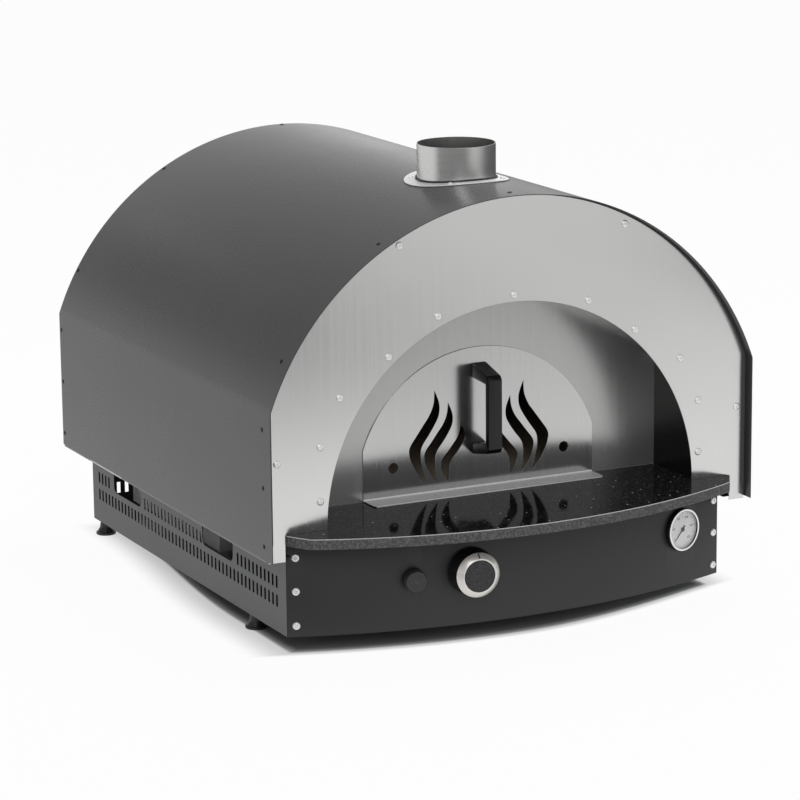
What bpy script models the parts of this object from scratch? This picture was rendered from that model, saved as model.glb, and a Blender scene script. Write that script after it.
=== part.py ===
"""Countertop gas pizza oven with a barrel-vault casing, piece by piece, in metres.

In the oven's frame x runs to the right, y to the back from the casing's front lip, and z up from
the casing's bottom edge. An empty carries every piece and stands the oven on its feet.
"""

from math import asin, atan2, cos, pi, radians, sin, sqrt

import bmesh
import bpy
from mathutils import Matrix, Vector

# Clearances, cuts and resolution
GAP = 0.0003
OVERRUN = 0.004
MERGE = 0.00001
SMOOTH_ANGLE = radians(32)
ARCH_STEPS = 28
VAULT_STEPS = 14
BOW_STEPS = 20
ROUND_STEPS = 24
SMALL_STEPS = 12
PIPE_STEPS = 6

# Casing: painted sheet with upright sides and an arched top
SHEET = 0.0015
SHELL_HALF_WIDTH = 0.500
SHELL_DEPTH = 1.047
SHELL_SPRING = 0.2736
SHELL_CREST = 0.6253
SHELL_RETURN = 0.030

# Face plate set back in the casing's lip, with a half-round opening above a notch for the shelf
FACE_INSET = 0.0218
FACE_SHEET = 0.0015
FACE_MARGIN = 0.0115
FACE_HALF_WIDTH = SHELL_HALF_WIDTH - FACE_MARGIN
FACE_SHOULDER = 0.0109
FACE_SPRING = SHELL_SPRING + FACE_SHOULDER
FACE_CREST_MARGIN = 0.0038
FACE_CREST = SHELL_CREST - FACE_CREST_MARGIN
FACE_FOOT_MARGIN = 0.0025
FACE_FOOT_HALF_WIDTH = SHELL_HALF_WIDTH - FACE_FOOT_MARGIN
FACE_FOOT_HEIGHT = 0.030
FACE_FOOT_DROP = 0.0045
OPENING_BORDER = 0.119
OPENING_RADIUS = SHELL_HALF_WIDTH - OPENING_BORDER
NOTCH_CLEARANCE = 0.0015
FACE_ARC_STEPS = 36

# Angle frame behind the face plate
FRAME_WIDTH = 0.035
FRAME_DEPTH = 0.030

# Rear wall of the casing
REAR_INSET = 0.004
REAR_FLANGE = 0.020

# Base: two slotted sides, a bowed front panel, a slotted rear panel and a floor
BASE_OVERHANG = 0.047
BASE_HALF_WIDTH = SHELL_HALF_WIDTH - BASE_OVERHANG
BASE_HEIGHT = 0.1532
BASE_REAR_OVERHANG = 0.040
BASE_REAR = SHELL_DEPTH - BASE_REAR_OVERHANG
BASE_FLANGE = 0.022
PANEL_FRONT = -0.0385
PANEL_SAGITTA = 0.084
PANEL_RISE = 0.0243
PANEL_FLANGE = 0.012
PANEL_SCREW_FLANGE = 0.032

# Slots and hand-hold windows in the sides
SLOT_PITCH = 0.01761
SLOT_WIDTH = 0.008
SLOT_HEIGHT = 0.023
SLOT_END_MARGIN = 0.037
SLOT_REAR = BASE_REAR - SLOT_END_MARGIN
SLOT_FRONT = 0.089
SLOT_COUNT = 1 + int((SLOT_REAR - SLOT_FRONT) / SLOT_PITCH)
LOW_SLOT_DROP = 0.1065
HIGH_SLOT_DROP = 0.071
WINDOW_LENGTH = 0.145
WINDOW_DROP = 0.0720
WINDOW_HEIGHT = 0.060
WINDOW_CORNER = 0.013
WINDOW_FRONT = 0.3610
WINDOW_REAR_MARGIN = 0.1903
WINDOW_CENTRES = (WINDOW_FRONT, BASE_REAR - WINDOW_REAR_MARGIN)
WINDOW_OUTER_LAND = 0.012
WINDOW_INNER_LAND = 0.003
WINDOW_CORNER_STEPS = 3
REAR_SLOT_CLEARANCE = 0.045
REAR_SLOT_MARGIN = 0.0547
REAR_SLOT_OUTER = BASE_HALF_WIDTH - REAR_SLOT_MARGIN

# Granite shelf with a bowed front edge
SHELF_LAP = 0.010
SHELF_HALF_WIDTH = BASE_HALF_WIDTH + SHELF_LAP
NOTCH_HALF_WIDTH = SHELF_HALF_WIDTH + NOTCH_CLEARANCE
SHELF_THICKNESS = 0.020
SHELF_FRONT = -0.1238
SHELF_SAGITTA = 0.112
SHELF_CORNER = 0.040
SHELF_CORNER_STEPS = 5
SHELF_EDGE = 0.0012
BRACKET_INSET = 0.153
BRACKET_X = BASE_HALF_WIDTH - BRACKET_INSET
BRACKET_WIDTH = 0.030
BRACKET_SETBACK = 0.007

# Folded hood inside the mouth, the plate behind it and the chamber's own mouth
HOOD_SHEET = 0.0012
HOOD_MARGIN = 0.004
HOOD_HALF_WIDTH = OPENING_RADIUS + HOOD_MARGIN
HOOD_SIDE_RISE = 0.2044
HOOD_CROWN_MARGIN = 0.0019
HOOD_TOP_HALF_WIDTH = 0.1165
HOOD_FLANGE = 0.018
MOUTH_SHEET = 0.0015

# Door: arched plate with a folded foot, two round holes and six flame-shaped cut-outs
DOOR_FRONT = 0.168
DOOR_SHEET = 0.002
DOOR_SHIFT = 0.004
DOOR_HALF_WIDTH = 0.243
DOOR_SIDE = 0.096
DOOR_HEIGHT = 0.2708
DOOR_LAP = 0.0155
DOOR_CREST_LAP = 0.0254
MOUTH_HALF_WIDTH = DOOR_HALF_WIDTH - DOOR_LAP
DOOR_FOOT = 0.0490
DOOR_FOOT_TAPER = 0.005
DOOR_HOLE_RADIUS = 0.010
DOOR_HOLE_MARGIN = 0.0623
DOOR_HOLE_X = DOOR_HALF_WIDTH - DOOR_HOLE_MARGIN
DOOR_HOLE_RISE = 0.0574
FLAME_RISE = 0.0189
FLAME_PLACE_SHARES = (0.2675, 0.364, 0.459)
FLAME_HEIGHT_SHARES = (0.404, 0.558, 0.654)
FLAME_SWAY_SHARES = (0.140, 0.052, 0.000)
FLAME_BREADTH_SHARES = (1.40, 1.15, 1.00)
FLAME_SPAN_STEPS = 2
# Height, lean of the centre line, further sway and width of a flame, as shares of its height
FLAME_SHARES = (
    (0.00, 0.000, 0.000, 0.000),
    (0.11, -0.065, 0.150, 0.062),
    (0.24, -0.117, 0.380, 0.106),
    (0.34, -0.135, 0.600, 0.132),
    (0.42, -0.120, 0.800, 0.145),
    (0.53, -0.042, 0.950, 0.147),
    (0.64, 0.035, 1.000, 0.138),
    (0.74, 0.095, 1.000, 0.112),
    (0.86, 0.121, 0.970, 0.064),
    (1.00, 0.100, 1.000, 0.000),
)

# Door handle: a bow of flat bar with tapered arms
HANDLE_WIDTH = 0.030
HANDLE_REACH = 0.065
HANDLE_GRIP = 0.012
HANDLE_CHAMFER = 0.006
HANDLE_EDGE = 0.0015
HANDLE_LENGTH = 0.175
HANDLE_TOP_MARGIN = 0.030
HANDLE_HIGH_ARM = 0.0284
HANDLE_LOW_ARM = 0.0208
HANDLE_TAPER_LOW = 0.0128
HANDLE_TAPER_HIGH = 0.017
HANDLE_HIGH_FRONT_ARM = 0.0147
HANDLE_LOW_FRONT_ARM = 0.0196

# Deck, insulation, tray and hearth stones, stacked upwards
DECK_SHEET = 0.002
INSULATION_BOARD = 0.020
TRAY_SHEET = 0.0015
TRAY_RIM = 0.015
STONE_THICKNESS = 0.018
STONE_JOINT = 0.0006
RAIL_WIDTH = 0.025
RAIL_HEIGHT = 0.025
RAIL_FRONT = 0.150
RAIL_REAR_MARGIN = 0.047
RAIL_PLACES = (RAIL_FRONT, BASE_REAR - RAIL_REAR_MARGIN)

# Cooking chamber: arched lining under an insulating blanket
VAULT_SETBACK = 0.088
VAULT_HALF_WIDTH = SHELL_HALF_WIDTH - VAULT_SETBACK
VAULT_SHOULDER = 0.0736
VAULT_SPRING = SHELL_SPRING - VAULT_SHOULDER
VAULT_HEADROOM = 0.1553
VAULT_CREST = SHELL_CREST - VAULT_HEADROOM
VAULT_SHEET = 0.002
BLANKET = 0.050
CHAMBER_BACK_MARGIN = 0.102
CHAMBER_BACK = SHELL_DEPTH - CHAMBER_BACK_MARGIN
BACK_SHEET = 0.0015

# Burner box hung in the hearth tray, with its tube, guard, jet and probes
BOX_FLANGE = 0.010
BOX_CLEARANCE = 0.002
BOX_WIDTH = 0.130
BOX_LEFT = -VAULT_HALF_WIDTH + BOX_FLANGE + BOX_CLEARANCE
BOX_RIGHT = BOX_LEFT + BOX_WIDTH
BOX_FRONT = 0.475
BOX_REAR_MARGIN = 0.025
BOX_REAR = CHAMBER_BACK - BOX_REAR_MARGIN
BOX_FLOOR_SPACE = 0.0497
BOX_DROP = BASE_HEIGHT - BOX_FLOOR_SPACE
TUBE_DROP = 0.020
TUBE_RADIUS = 0.019
TUBE_WALL = 0.001
TUBE_REACH = 0.039
TUBE_MOUTH = BOX_FRONT - TUBE_REACH
PORT_COUNT = 8
PORT_LENGTH = 0.028
PORT_WIDTH = 0.003
GUARD_HEIGHT = 0.050
GUARD_SLOTS = 8
GUARD_SLOT_WIDTH = 0.012
GUARD_SLOT_HEIGHT = 0.026
JET_RADIUS = 0.006
JET_LENGTH = 0.022
PROBE_RADIUS = 0.0035
PROBE_SPREAD = 0.034
PROBE_FRONT = 0.036
PROBE_LENGTH = 0.110

# Gas pipes and rear inlet
PIPE_RADIUS = 0.004
LEAD_RADIUS = 0.002
BEND_RADIUS = 0.030
LEAD_BEND = 0.006
BEND_STEPS = 2
VALVE_PORT_SPREAD = 0.009
VALVE_PORT_DROP = 0.009
PIPE_TURN = 0.300
INLET_RADIUS = 0.010
INLET_LENGTH = 0.040
INLET_INSIDE = 0.0152
INLET_BORE = 0.0055
INLET_FLANGE_RADIUS = 0.016
INLET_FLANGE = 0.003

# Burner knob on its valve
KNOB_X = -0.1213
KNOB_DROP = 0.0508
KNOB_TRAVEL = 0.004
KNOB_CLEARANCE = 0.0015
KNOB_LIFT = KNOB_TRAVEL + KNOB_CLEARANCE
KNOB_DEPTH = 0.0335
KNOB_RADIUS = 0.0445
RING_RADIUS = 0.0420
RING_WIDTH = 0.0121
RING_INNER = RING_RADIUS - RING_WIDTH
RING_DEPTH = 0.010
RING_EDGE = 0.0010
RING_LAND = 0.0022
CAP_DEPTH = 0.0088
SPINDLE_RADIUS = 0.004
SPINDLE_REACH = 0.020
VALVE_HALF_WIDTH = 0.016
VALVE_END = 0.0087
BORE_CLEARANCE = 0.0005
PLUNGER_RADIUS = 0.005
PLUNGER_DEPTH = 0.0065
PLUNGER_SEAT = 0.041

# Push-button igniter and its spark unit
BUTTON_X = -0.2297
BUTTON_DROP = 0.0574
BUTTON_RADIUS = 0.01925
BUTTON_TRAVEL = 0.005
BUTTON_CLEARANCE = 0.0007
BUTTON_EDGE = 0.0012
COLLAR_WALL = 0.0019
COLLAR_OUT = 0.0185
BUTTON_PROUD = 0.0055
BUTTON_OUT = COLLAR_OUT + BUTTON_PROUD
COLLAR_WEB = 0.002
PIEZO_RADIUS = 0.0125
PIEZO_DEPTH = 0.060
PIEZO_NECK = 0.009
STEM_RADIUS = 0.006
STEM_REACH = 0.010

# Dial thermometer
DIAL_MARGIN = 0.1011
DIAL_X = BASE_HALF_WIDTH - DIAL_MARGIN
DIAL_DROP = 0.0454
BEZEL_RADIUS = 0.0415
BEZEL_OUT = 0.010
BEZEL_LIP = 0.0015
BEZEL_LAND = 0.005
BEZEL_WINDOW = BEZEL_RADIUS - BEZEL_LAND
BEZEL_WALL = 0.002
BEZEL_EDGE = 0.002
CASE_MARGIN = 0.004
CASE_RADIUS = BEZEL_RADIUS - CASE_MARGIN
CASE_DEPTH = 0.032
CASE_OUT = 0.0027
CASE_WALL = 0.001
DIAL_SHEET = 0.0008
GLASS_THICKNESS = 0.0012
NEEDLE_HUB = 0.004
NEEDLE_HUB_DEPTH = 0.0021
NEEDLE_SHEET = 0.0008
NEEDLE_MARGIN = 0.0065
NEEDLE_LENGTH = BEZEL_WINDOW - NEEDLE_MARGIN
NEEDLE_TAIL = 0.009
NEEDLE_WIDTH = 0.003
NEEDLE_REST = radians(45)
CAPILLARY_CLEARANCE = 0.0008
CAPILLARY_MARGIN = 0.038
CAPILLARY_HOLE_X = BASE_HALF_WIDTH - CAPILLARY_MARGIN
CAPILLARY_BESIDE = 0.0125
CAPILLARY_X = SHELF_HALF_WIDTH + CAPILLARY_BESIDE
CAPILLARY_RISE_Y = 0.130
CAPILLARY_TURN = 0.095
CAPILLARY_TOP = 0.185
CAPILLARY_ENTRY = 0.400
CAPILLARY_REACH = 0.032
CAPILLARY_TIP = VAULT_HALF_WIDTH - CAPILLARY_REACH

# Flue spigot and its saddle flange
FLUE_RADIUS = 0.074
FLUE_WALL = 0.0015
FLUE_CENTRE = 0.248
FLUE_STAND = 0.0641
FLUE_TOP = SHELL_CREST + FLUE_STAND
FLUE_TAIL = 0.004
FLANGE_BORDER = 0.024
FLANGE_SHEET = 0.002
FLUE_STEPS = 32

# Levelling feet
FOOT_HEIGHT = 0.030
FOOT_RADIUS = 0.0204
FOOT_RIM = 0.005
FOOT_TOP_RADIUS = 0.010
FOOT_WAIST_RADIUS = 0.0125
FOOT_WAIST_RISE = 0.014
FOOT_SETBACK = 0.016
FOOT_X = BASE_HALF_WIDTH - FOOT_SETBACK
FOOT_FRONT = 0.223
FOOT_REAR_MARGIN = 0.024
FOOT_PLACES = (FOOT_FRONT, BASE_REAR - FOOT_REAR_MARGIN)
STUD_RADIUS = 0.004
STUD_LENGTH = 0.026
STUD_CLEARANCE = 0.0005
NUT_RADIUS = 0.008
NUT_HEIGHT = 0.006

# Heights and places that follow from the sizes above
SHELF_BOTTOM = PANEL_RISE + GAP
SHELF_TOP = SHELF_BOTTOM + SHELF_THICKNESS
DOOR_SPRING = SHELF_TOP + DOOR_SIDE
DOOR_CREST = SHELF_TOP + DOOR_HEIGHT
MOUTH_SPRING = DOOR_SPRING - DOOR_LAP
MOUTH_CREST = DOOR_CREST - DOOR_CREST_LAP
HANDLE_FOOT_HIGH = DOOR_CREST - HANDLE_TOP_MARGIN
HANDLE_FOOT_LOW = HANDLE_FOOT_HIGH - HANDLE_LENGTH
HANDLE_FRONT_LOW = HANDLE_FOOT_LOW + HANDLE_TAPER_LOW
HANDLE_FRONT_HIGH = HANDLE_FOOT_HIGH - HANDLE_TAPER_HIGH
HANDLE_INNER_LOW = HANDLE_FRONT_LOW + HANDLE_LOW_FRONT_ARM
HANDLE_INNER_HIGH = HANDLE_FRONT_HIGH - HANDLE_HIGH_FRONT_ARM
HOOD_SIDE = SHELF_TOP + HOOD_SIDE_RISE
HOOD_TOP = SHELF_TOP + OPENING_RADIUS + HOOD_CROWN_MARGIN
DECK_BOTTOM = SHEET + GAP
DECK_TOP = DECK_BOTTOM + DECK_SHEET
BOARD_BOTTOM = DECK_TOP + GAP
TRAY_BOTTOM = BOARD_BOTTOM + INSULATION_BOARD + GAP
TRAY_TOP = TRAY_BOTTOM + TRAY_SHEET
HEARTH_BOTTOM = TRAY_TOP + GAP
HEARTH_TOP = HEARTH_BOTTOM + STONE_THICKNESS
SHELL_INNER = SHELL_HALF_WIDTH - SHEET - GAP
FRAME_FRONT = FACE_INSET + FACE_SHEET + GAP
REAR_OUTER = SHELL_DEPTH - REAR_INSET
REAR_INNER = REAR_OUTER - SHEET
MOUTH_FRONT = DOOR_FRONT + DOOR_SHEET + GAP
MOUTH_REAR = MOUTH_FRONT + MOUTH_SHEET
TRAY_FRONT = MOUTH_REAR + GAP
CHAMBER_FRONT = TRAY_FRONT + TRAY_SHEET + GAP
BACK_REAR = CHAMBER_BACK + GAP + BACK_SHEET
TRAY_REAR = BACK_REAR + GAP + TRAY_SHEET
BLANKET_OUT = VAULT_SHEET + GAP + BLANKET
TRAY_HALF_WIDTH = VAULT_HALF_WIDTH + BLANKET_OUT + GAP + TRAY_SHEET
FLOOR_BOTTOM = -BASE_HEIGHT + SHEET + GAP
FLOOR_TOP = FLOOR_BOTTOM + SHEET
PANEL_RADIUS = (BASE_HALF_WIDTH ** 2 + PANEL_SAGITTA ** 2) / (2 * PANEL_SAGITTA)
SHELF_RADIUS = (SHELF_HALF_WIDTH ** 2 + SHELF_SAGITTA ** 2) / (2 * SHELF_SAGITTA)
TUBE_CENTRE = (BOX_LEFT + BOX_RIGHT) / 2
VALVE_FRONT = -SHEET - GAP
SPINDLE_TAIL = -PLUNGER_SEAT + PLUNGER_DEPTH + GAP
BORE_FLOOR = -PLUNGER_SEAT - KNOB_TRAVEL - GAP
VALVE_DEPTH = VALVE_END - BORE_FLOOR
KNOB_FACE = KNOB_LIFT + KNOB_DEPTH
DIAL_BOTTOM = CASE_OUT + GAP
GLASS_TOP = BEZEL_OUT - BEZEL_LIP - GAP


def clear_scene():
    for obj in list(bpy.data.objects):
        bpy.data.objects.remove(obj, do_unlink=True)


def material(name, colour, roughness, metallic):
    """Plain finish of one kind of piece."""
    paint = bpy.data.materials.new(name)
    paint.use_nodes = True
    shader = paint.node_tree.nodes["Principled BSDF"]
    shader.inputs["Base Color"].default_value = (*colour, 1)
    shader.inputs["Roughness"].default_value = roughness
    shader.inputs["Metallic"].default_value = metallic
    paint.diffuse_color = (*colour, 1)
    return paint


def empty(name, parent=None, location=(0, 0, 0), rotation=(0, 0, 0)):
    """Frame that carries pieces."""
    frame = bpy.data.objects.new(name, None)
    bpy.context.collection.objects.link(frame)
    frame.parent = parent
    frame.location = location
    frame.rotation_euler = rotation
    return frame


def piece(name, bm, paint, parent, location=(0, 0, 0)):
    """Object made from a closed mesh, smooth where it is round."""
    bmesh.ops.recalc_face_normals(bm, faces=bm.faces)
    mesh = bpy.data.meshes.new(name)
    bm.to_mesh(mesh)
    bm.free()
    mesh.materials.append(paint)
    mesh.shade_smooth()
    mesh.set_sharp_from_angle(angle=SMOOTH_ANGLE)
    obj = bpy.data.objects.new(name, mesh)
    bpy.context.collection.objects.link(obj)
    obj.parent = parent
    obj.location = location
    return obj


def combine(obj, operation, bm):
    """Boolean of an object with a closed mesh in the same frame."""
    name = f"{obj.name}_{operation.lower()}_{len(obj.modifiers)}"
    tool = piece(name, bm, obj.data.materials[0], obj.parent, obj.location)
    tool.hide_render = True
    tool.display_type = "WIRE"
    step = obj.modifiers.new(name, "BOOLEAN")
    step.operation = operation
    step.object = tool
    step.solver = "EXACT"


def soften(obj, width):
    """Small bevel on every sharp edge."""
    step = obj.modifiers.new("edge", "BEVEL")
    step.width = width
    step.segments = 1
    step.limit_method = "ANGLE"
    step.angle_limit = SMOOTH_ANGLE


def front_plane(u, v, along):
    """Outline in x and z, carried along y."""
    return u, along, v


def plan(u, v, along):
    """Outline in x and y, carried along z."""
    return u, v, along


def side_plane(u, v, along):
    """Outline in y and z, carried along x."""
    return along, u, v


def prism(outline, start, end, place):
    """Closed outline carried from start to end."""
    bm = bmesh.new()
    near = [bm.verts.new(place(u, v, start)) for u, v in outline]
    far = [bm.verts.new(place(u, v, end)) for u, v in outline]
    count = len(outline)
    for i in range(count):
        j = (i + 1) % count
        bm.faces.new((near[i], near[j], far[j], far[i]))
    bm.faces.new(near)
    bm.faces.new(far)
    bmesh.ops.recalc_face_normals(bm, faces=bm.faces)
    return bm


def box(x_range, y_range, z_range):
    """Block between two corners."""
    (x0, x1), (y0, y1) = x_range, y_range
    return prism([(x0, y0), (x1, y0), (x1, y1), (x0, y1)], *z_range, plan)


def joined(shapes):
    """Several closed meshes in one."""
    total = bmesh.new()
    for bm in shapes:
        mesh = bpy.data.meshes.new("shape")
        bm.to_mesh(mesh)
        bm.free()
        total.from_mesh(mesh)
        bpy.data.meshes.remove(mesh)
    return total


def turned(profile, steps=ROUND_STEPS):
    """Profile of radius and height turned round z: solid if it meets the axis, else a ring."""
    bm = bmesh.new()
    verts = [bm.verts.new((radius, 0, height)) for radius, height in profile]
    edges = [bm.edges.new(pair) for pair in zip(verts, verts[1:])]
    if profile[0][0] > 0:
        edges.append(bm.edges.new((verts[-1], verts[0])))
    bmesh.ops.spin(bm, geom=verts + edges, axis=(0, 0, 1), cent=(0, 0, 0), angle=2 * pi, steps=steps)
    bmesh.ops.remove_doubles(bm, verts=bm.verts, dist=MERGE)
    bmesh.ops.recalc_face_normals(bm, faces=bm.faces)
    return bm


def rod(radius, start, end, steps=ROUND_STEPS):
    """Solid cylinder along z."""
    return turned([(0, start), (radius, start), (radius, end), (0, end)], steps)


def tube(outer, inner, start, end, steps=ROUND_STEPS):
    """Open cylinder along z."""
    return turned([(inner, start), (outer, start), (outer, end), (inner, end)], steps)


def moved(bm, matrix):
    bm.transform(matrix)
    bmesh.ops.recalc_face_normals(bm, faces=bm.faces)
    return bm


def along_y(bm, x, y, z):
    """Shape made along z, laid so that its z runs along y from the given point."""
    return moved(bm, Matrix.Translation((x, y, z)) @ Matrix.Rotation(-pi / 2, 4, "X"))


def along_x(bm, x, y, z):
    """Shape made along z, laid so that its z runs along x from the given point."""
    return moved(bm, Matrix.Translation((x, y, z)) @ Matrix.Rotation(pi / 2, 4, "Y"))


def arc(centre, radius, start, end, steps):
    """Points along an arc between two angles, both ends included."""
    angles = [start + (end - start) * i / steps for i in range(steps + 1)]
    return [(centre[0] + radius * cos(a), centre[1] + radius * sin(a)) for a in angles]


def arch(half_width, foot, spring, crest, steps=ARCH_STEPS):
    """Open path of an arch on upright sides, from the right foot over to the left foot."""
    rise = crest - spring
    radius = (half_width ** 2 + rise ** 2) / (2 * rise)
    centre = crest - radius
    start = atan2(spring - centre, half_width)
    top = arc((0, centre), radius, start, pi - start, steps)
    return [(half_width, foot), *top, (-half_width, foot)]


def bow(half_width, front, radius, steps=BOW_STEPS):
    """Open path of a bowed front edge in plan, from left to right."""
    reach = asin(half_width / radius)
    return arc((0, front + radius), radius, -pi / 2 - reach, -pi / 2 + reach, steps)


def offset_path(path, distance):
    """Open path moved to its left, with mitred corners."""
    points = [Vector(p) for p in path]
    runs = [(b - a).normalized() for a, b in zip(points, points[1:])]
    normals = [Vector((-d.y, d.x)) for d in runs]
    line = []
    for i, point in enumerate(points):
        before = normals[max(i - 1, 0)]
        after = normals[min(i, len(normals) - 1)]
        mitre = (before + after) / (1 + before.dot(after))
        line.append(tuple(point + mitre * distance))
    return line


def folded(path, section, place):
    """Sheet of a given section, of offset and place along, carried down an open path."""
    bm = bmesh.new()
    lines = []
    for offset, along in section:
        lines.append([bm.verts.new(place(u, v, along)) for u, v in offset_path(path, offset)])
    for k, line in enumerate(lines):
        other = lines[(k + 1) % len(lines)]
        for i in range(len(path) - 1):
            bm.faces.new((line[i], line[i + 1], other[i + 1], other[i]))
    bm.faces.new([line[0] for line in lines])
    bm.faces.new([line[-1] for line in lines])
    bmesh.ops.recalc_face_normals(bm, faces=bm.faces)
    return bm


def strip(inner, outer, start, end):
    """Rectangular section between two offsets and two places along."""
    return [(inner, start), (outer, start), (outer, end), (inner, end)]


def pan(outer, inner, web_outer, web_inner, rim, place):
    """Closed sheet with an upstanding rim all round it: outer and inner outlines match."""
    bm = bmesh.new()
    rings = []
    for outline, along in ((outer, web_outer), (outer, rim), (inner, rim), (inner, web_inner)):
        rings.append([bm.verts.new(place(u, v, along)) for u, v in outline])
    for near, far in zip(rings, rings[1:]):
        for i in range(len(near)):
            j = (i + 1) % len(near)
            bm.faces.new((near[i], near[j], far[j], far[i]))
    bm.faces.new(rings[0])
    bm.faces.new(rings[-1])
    bmesh.ops.recalc_face_normals(bm, faces=bm.faces)
    return bm


def rounded_route(points, radius):
    """Route with its corners rounded."""
    route = [Vector(points[0])]
    for before, corner, after in zip(points, points[1:], points[2:]):
        corner = Vector(corner)
        back = (Vector(before) - corner).normalized()
        ahead = (Vector(after) - corner).normalized()
        for i in range(BEND_STEPS + 1):
            t = i / BEND_STEPS
            start = corner + back * radius
            end = corner + ahead * radius
            route.append(start * (1 - t) ** 2 + corner * 2 * t * (1 - t) + end * t ** 2)
    route.append(Vector(points[-1]))
    return route


def pipe(name, points, radius, paint, parent, bend=BEND_RADIUS, steps=PIPE_STEPS):
    """Round bar or filled pipe along a route with rounded corners."""
    route = rounded_route(points, bend)
    bm = bmesh.new()
    rings = []
    side = None
    for i, point in enumerate(route):
        ahead = route[min(i + 1, len(route) - 1)] - route[max(i - 1, 0)]
        ahead.normalize()
        if side is None:
            side = ahead.orthogonal().normalized()
        side = (side - ahead * side.dot(ahead)).normalized()
        up = ahead.cross(side)
        turns = [2 * pi * k / steps for k in range(steps)]
        rings.append([bm.verts.new(point + (side * cos(a) + up * sin(a)) * radius) for a in turns])
    for near, far in zip(rings, rings[1:]):
        for k in range(steps):
            j = (k + 1) % steps
            bm.faces.new((near[k], near[j], far[j], far[k]))
    bm.faces.new(rings[0])
    bm.faces.new(rings[-1])
    return piece(name, bm, paint, parent)


def panel_y(x):
    """Front face of the bowed panel at a place across it."""
    return PANEL_FRONT + PANEL_RADIUS - sqrt(PANEL_RADIUS ** 2 - x ** 2)


def panel_turn(x):
    """Turn about z that faces straight out from the bowed panel."""
    return asin(x / PANEL_RADIUS)


def station(x, drop):
    """Matrix of a frame on the panel: z out of its face, y up."""
    turn = Matrix.Rotation(panel_turn(x), 4, "Z") @ Matrix.Rotation(pi / 2, 4, "X")
    return Matrix.Translation((x, panel_y(x), -drop)) @ turn


def station_empty(name, x, drop, parent):
    return empty(name, parent, (x, panel_y(x), -drop), (pi / 2, 0, panel_turn(x)))


def make_shell(oven, paint):
    """Casing sheet with a turned-in bottom edge behind the front frame and a hole for the flue."""
    path = arch(SHELL_HALF_WIDTH, 0, SHELL_SPRING, SHELL_CREST)
    shell = piece("shell_skin", folded(path, strip(0, SHEET, 0, SHELL_DEPTH), front_plane), paint, oven)
    inner = SHELL_HALF_WIDTH - SHELL_RETURN
    outer = SHELL_HALF_WIDTH - SHEET / 2
    depth = (FRAME_FRONT + SHEET + GAP, SHELL_DEPTH)
    edges = [box((inner, outer), depth, (0, SHEET)), box((-outer, -inner), depth, (0, SHEET))]
    combine(shell, "UNION", joined(edges))
    hole = moved(rod(FLUE_RADIUS + GAP, 0, FLUE_TOP, FLUE_STEPS), Matrix.Translation((0, FLUE_CENTRE, 0)))
    combine(shell, "DIFFERENCE", hole)


def make_face_plate(oven, steel):
    """Front plate: arched outside, half-round opening, notch for the shelf and flared feet."""
    outside = arch(FACE_HALF_WIDTH, FACE_FOOT_HEIGHT, FACE_SPRING, FACE_CREST)
    opening = arc((0, SHELF_TOP), OPENING_RADIUS, pi, 0, FACE_ARC_STEPS)
    foot = -FACE_FOOT_DROP
    outline = [(FACE_FOOT_HALF_WIDTH, foot), *outside, (-FACE_FOOT_HALF_WIDTH, foot)]
    outline += [(-NOTCH_HALF_WIDTH, foot), (-NOTCH_HALF_WIDTH, SHELF_TOP), *opening]
    outline += [(NOTCH_HALF_WIDTH, SHELF_TOP), (NOTCH_HALF_WIDTH, foot)]
    plate = prism(outline, FACE_INSET, FACE_INSET + FACE_SHEET, front_plane)
    piece("face_plate", plate, steel, oven)


def make_front_frame(oven, paint):
    """Angle round the inside of the casing: the face plate screws to its web."""
    crest = SHELL_CREST - SHEET - GAP
    path = arch(SHELL_INNER, DECK_TOP + GAP, SHELL_SPRING, crest)
    back = FRAME_FRONT + FRAME_DEPTH
    web = FRAME_FRONT + SHEET
    section = [(0, FRAME_FRONT), (FRAME_WIDTH, FRAME_FRONT), (FRAME_WIDTH, web)]
    section += [(SHEET, web), (SHEET, back), (0, back)]
    piece("front_frame", folded(path, section, front_plane), paint, oven)


def make_rear_panel(oven, paint):
    """Rear wall, a shallow pan whose rim screws to the casing."""
    crest = SHELL_CREST - SHEET - GAP
    outer = arch(SHELL_INNER, DECK_TOP + GAP, SHELL_SPRING, crest)
    inner = arch(SHELL_INNER - SHEET, DECK_TOP + GAP + SHEET, SHELL_SPRING, crest - SHEET)
    bm = pan(outer, inner, REAR_OUTER, REAR_INNER, REAR_INNER - REAR_FLANGE, front_plane)
    piece("rear_panel", bm, paint, oven)


def make_deck(oven, zinc):
    """Floor of the casing, on the base's flanges, with a bowed front edge and a burner cut-out."""
    edge = offset_path(bow(BASE_HALF_WIDTH, PANEL_FRONT, PANEL_RADIUS), SHEET + GAP)
    corner = BASE_HALF_WIDTH + GAP
    setback = edge[-1][1]
    back = FRAME_FRONT + SHEET + GAP
    outline = [*edge, (corner, setback), (corner, back), (SHELL_INNER, back), (SHELL_INNER, REAR_OUTER)]
    outline += [(-SHELL_INNER, REAR_OUTER), (-SHELL_INNER, back), (-corner, back), (-corner, setback)]
    deck = piece("deck_plate", prism(outline, DECK_BOTTOM, DECK_TOP, plan), zinc, oven)
    riser = rod(LEAD_RADIUS + CAPILLARY_CLEARANCE, DECK_BOTTOM - OVERRUN, DECK_TOP + OVERRUN, SMALL_STEPS)
    riser = moved(riser, Matrix.Translation((CAPILLARY_HOLE_X, CAPILLARY_RISE_Y, 0)))
    combine(deck, "DIFFERENCE", joined([burner_cut(DECK_BOTTOM, DECK_TOP), riser]))


def burner_cut(bottom, top):
    """Cutter that lets the burner box through a layer."""
    x_range = (BOX_LEFT - GAP, BOX_RIGHT + GAP)
    y_range = (BOX_FRONT - GAP, BOX_REAR + GAP)
    return box(x_range, y_range, (bottom - OVERRUN, top + OVERRUN))


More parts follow.
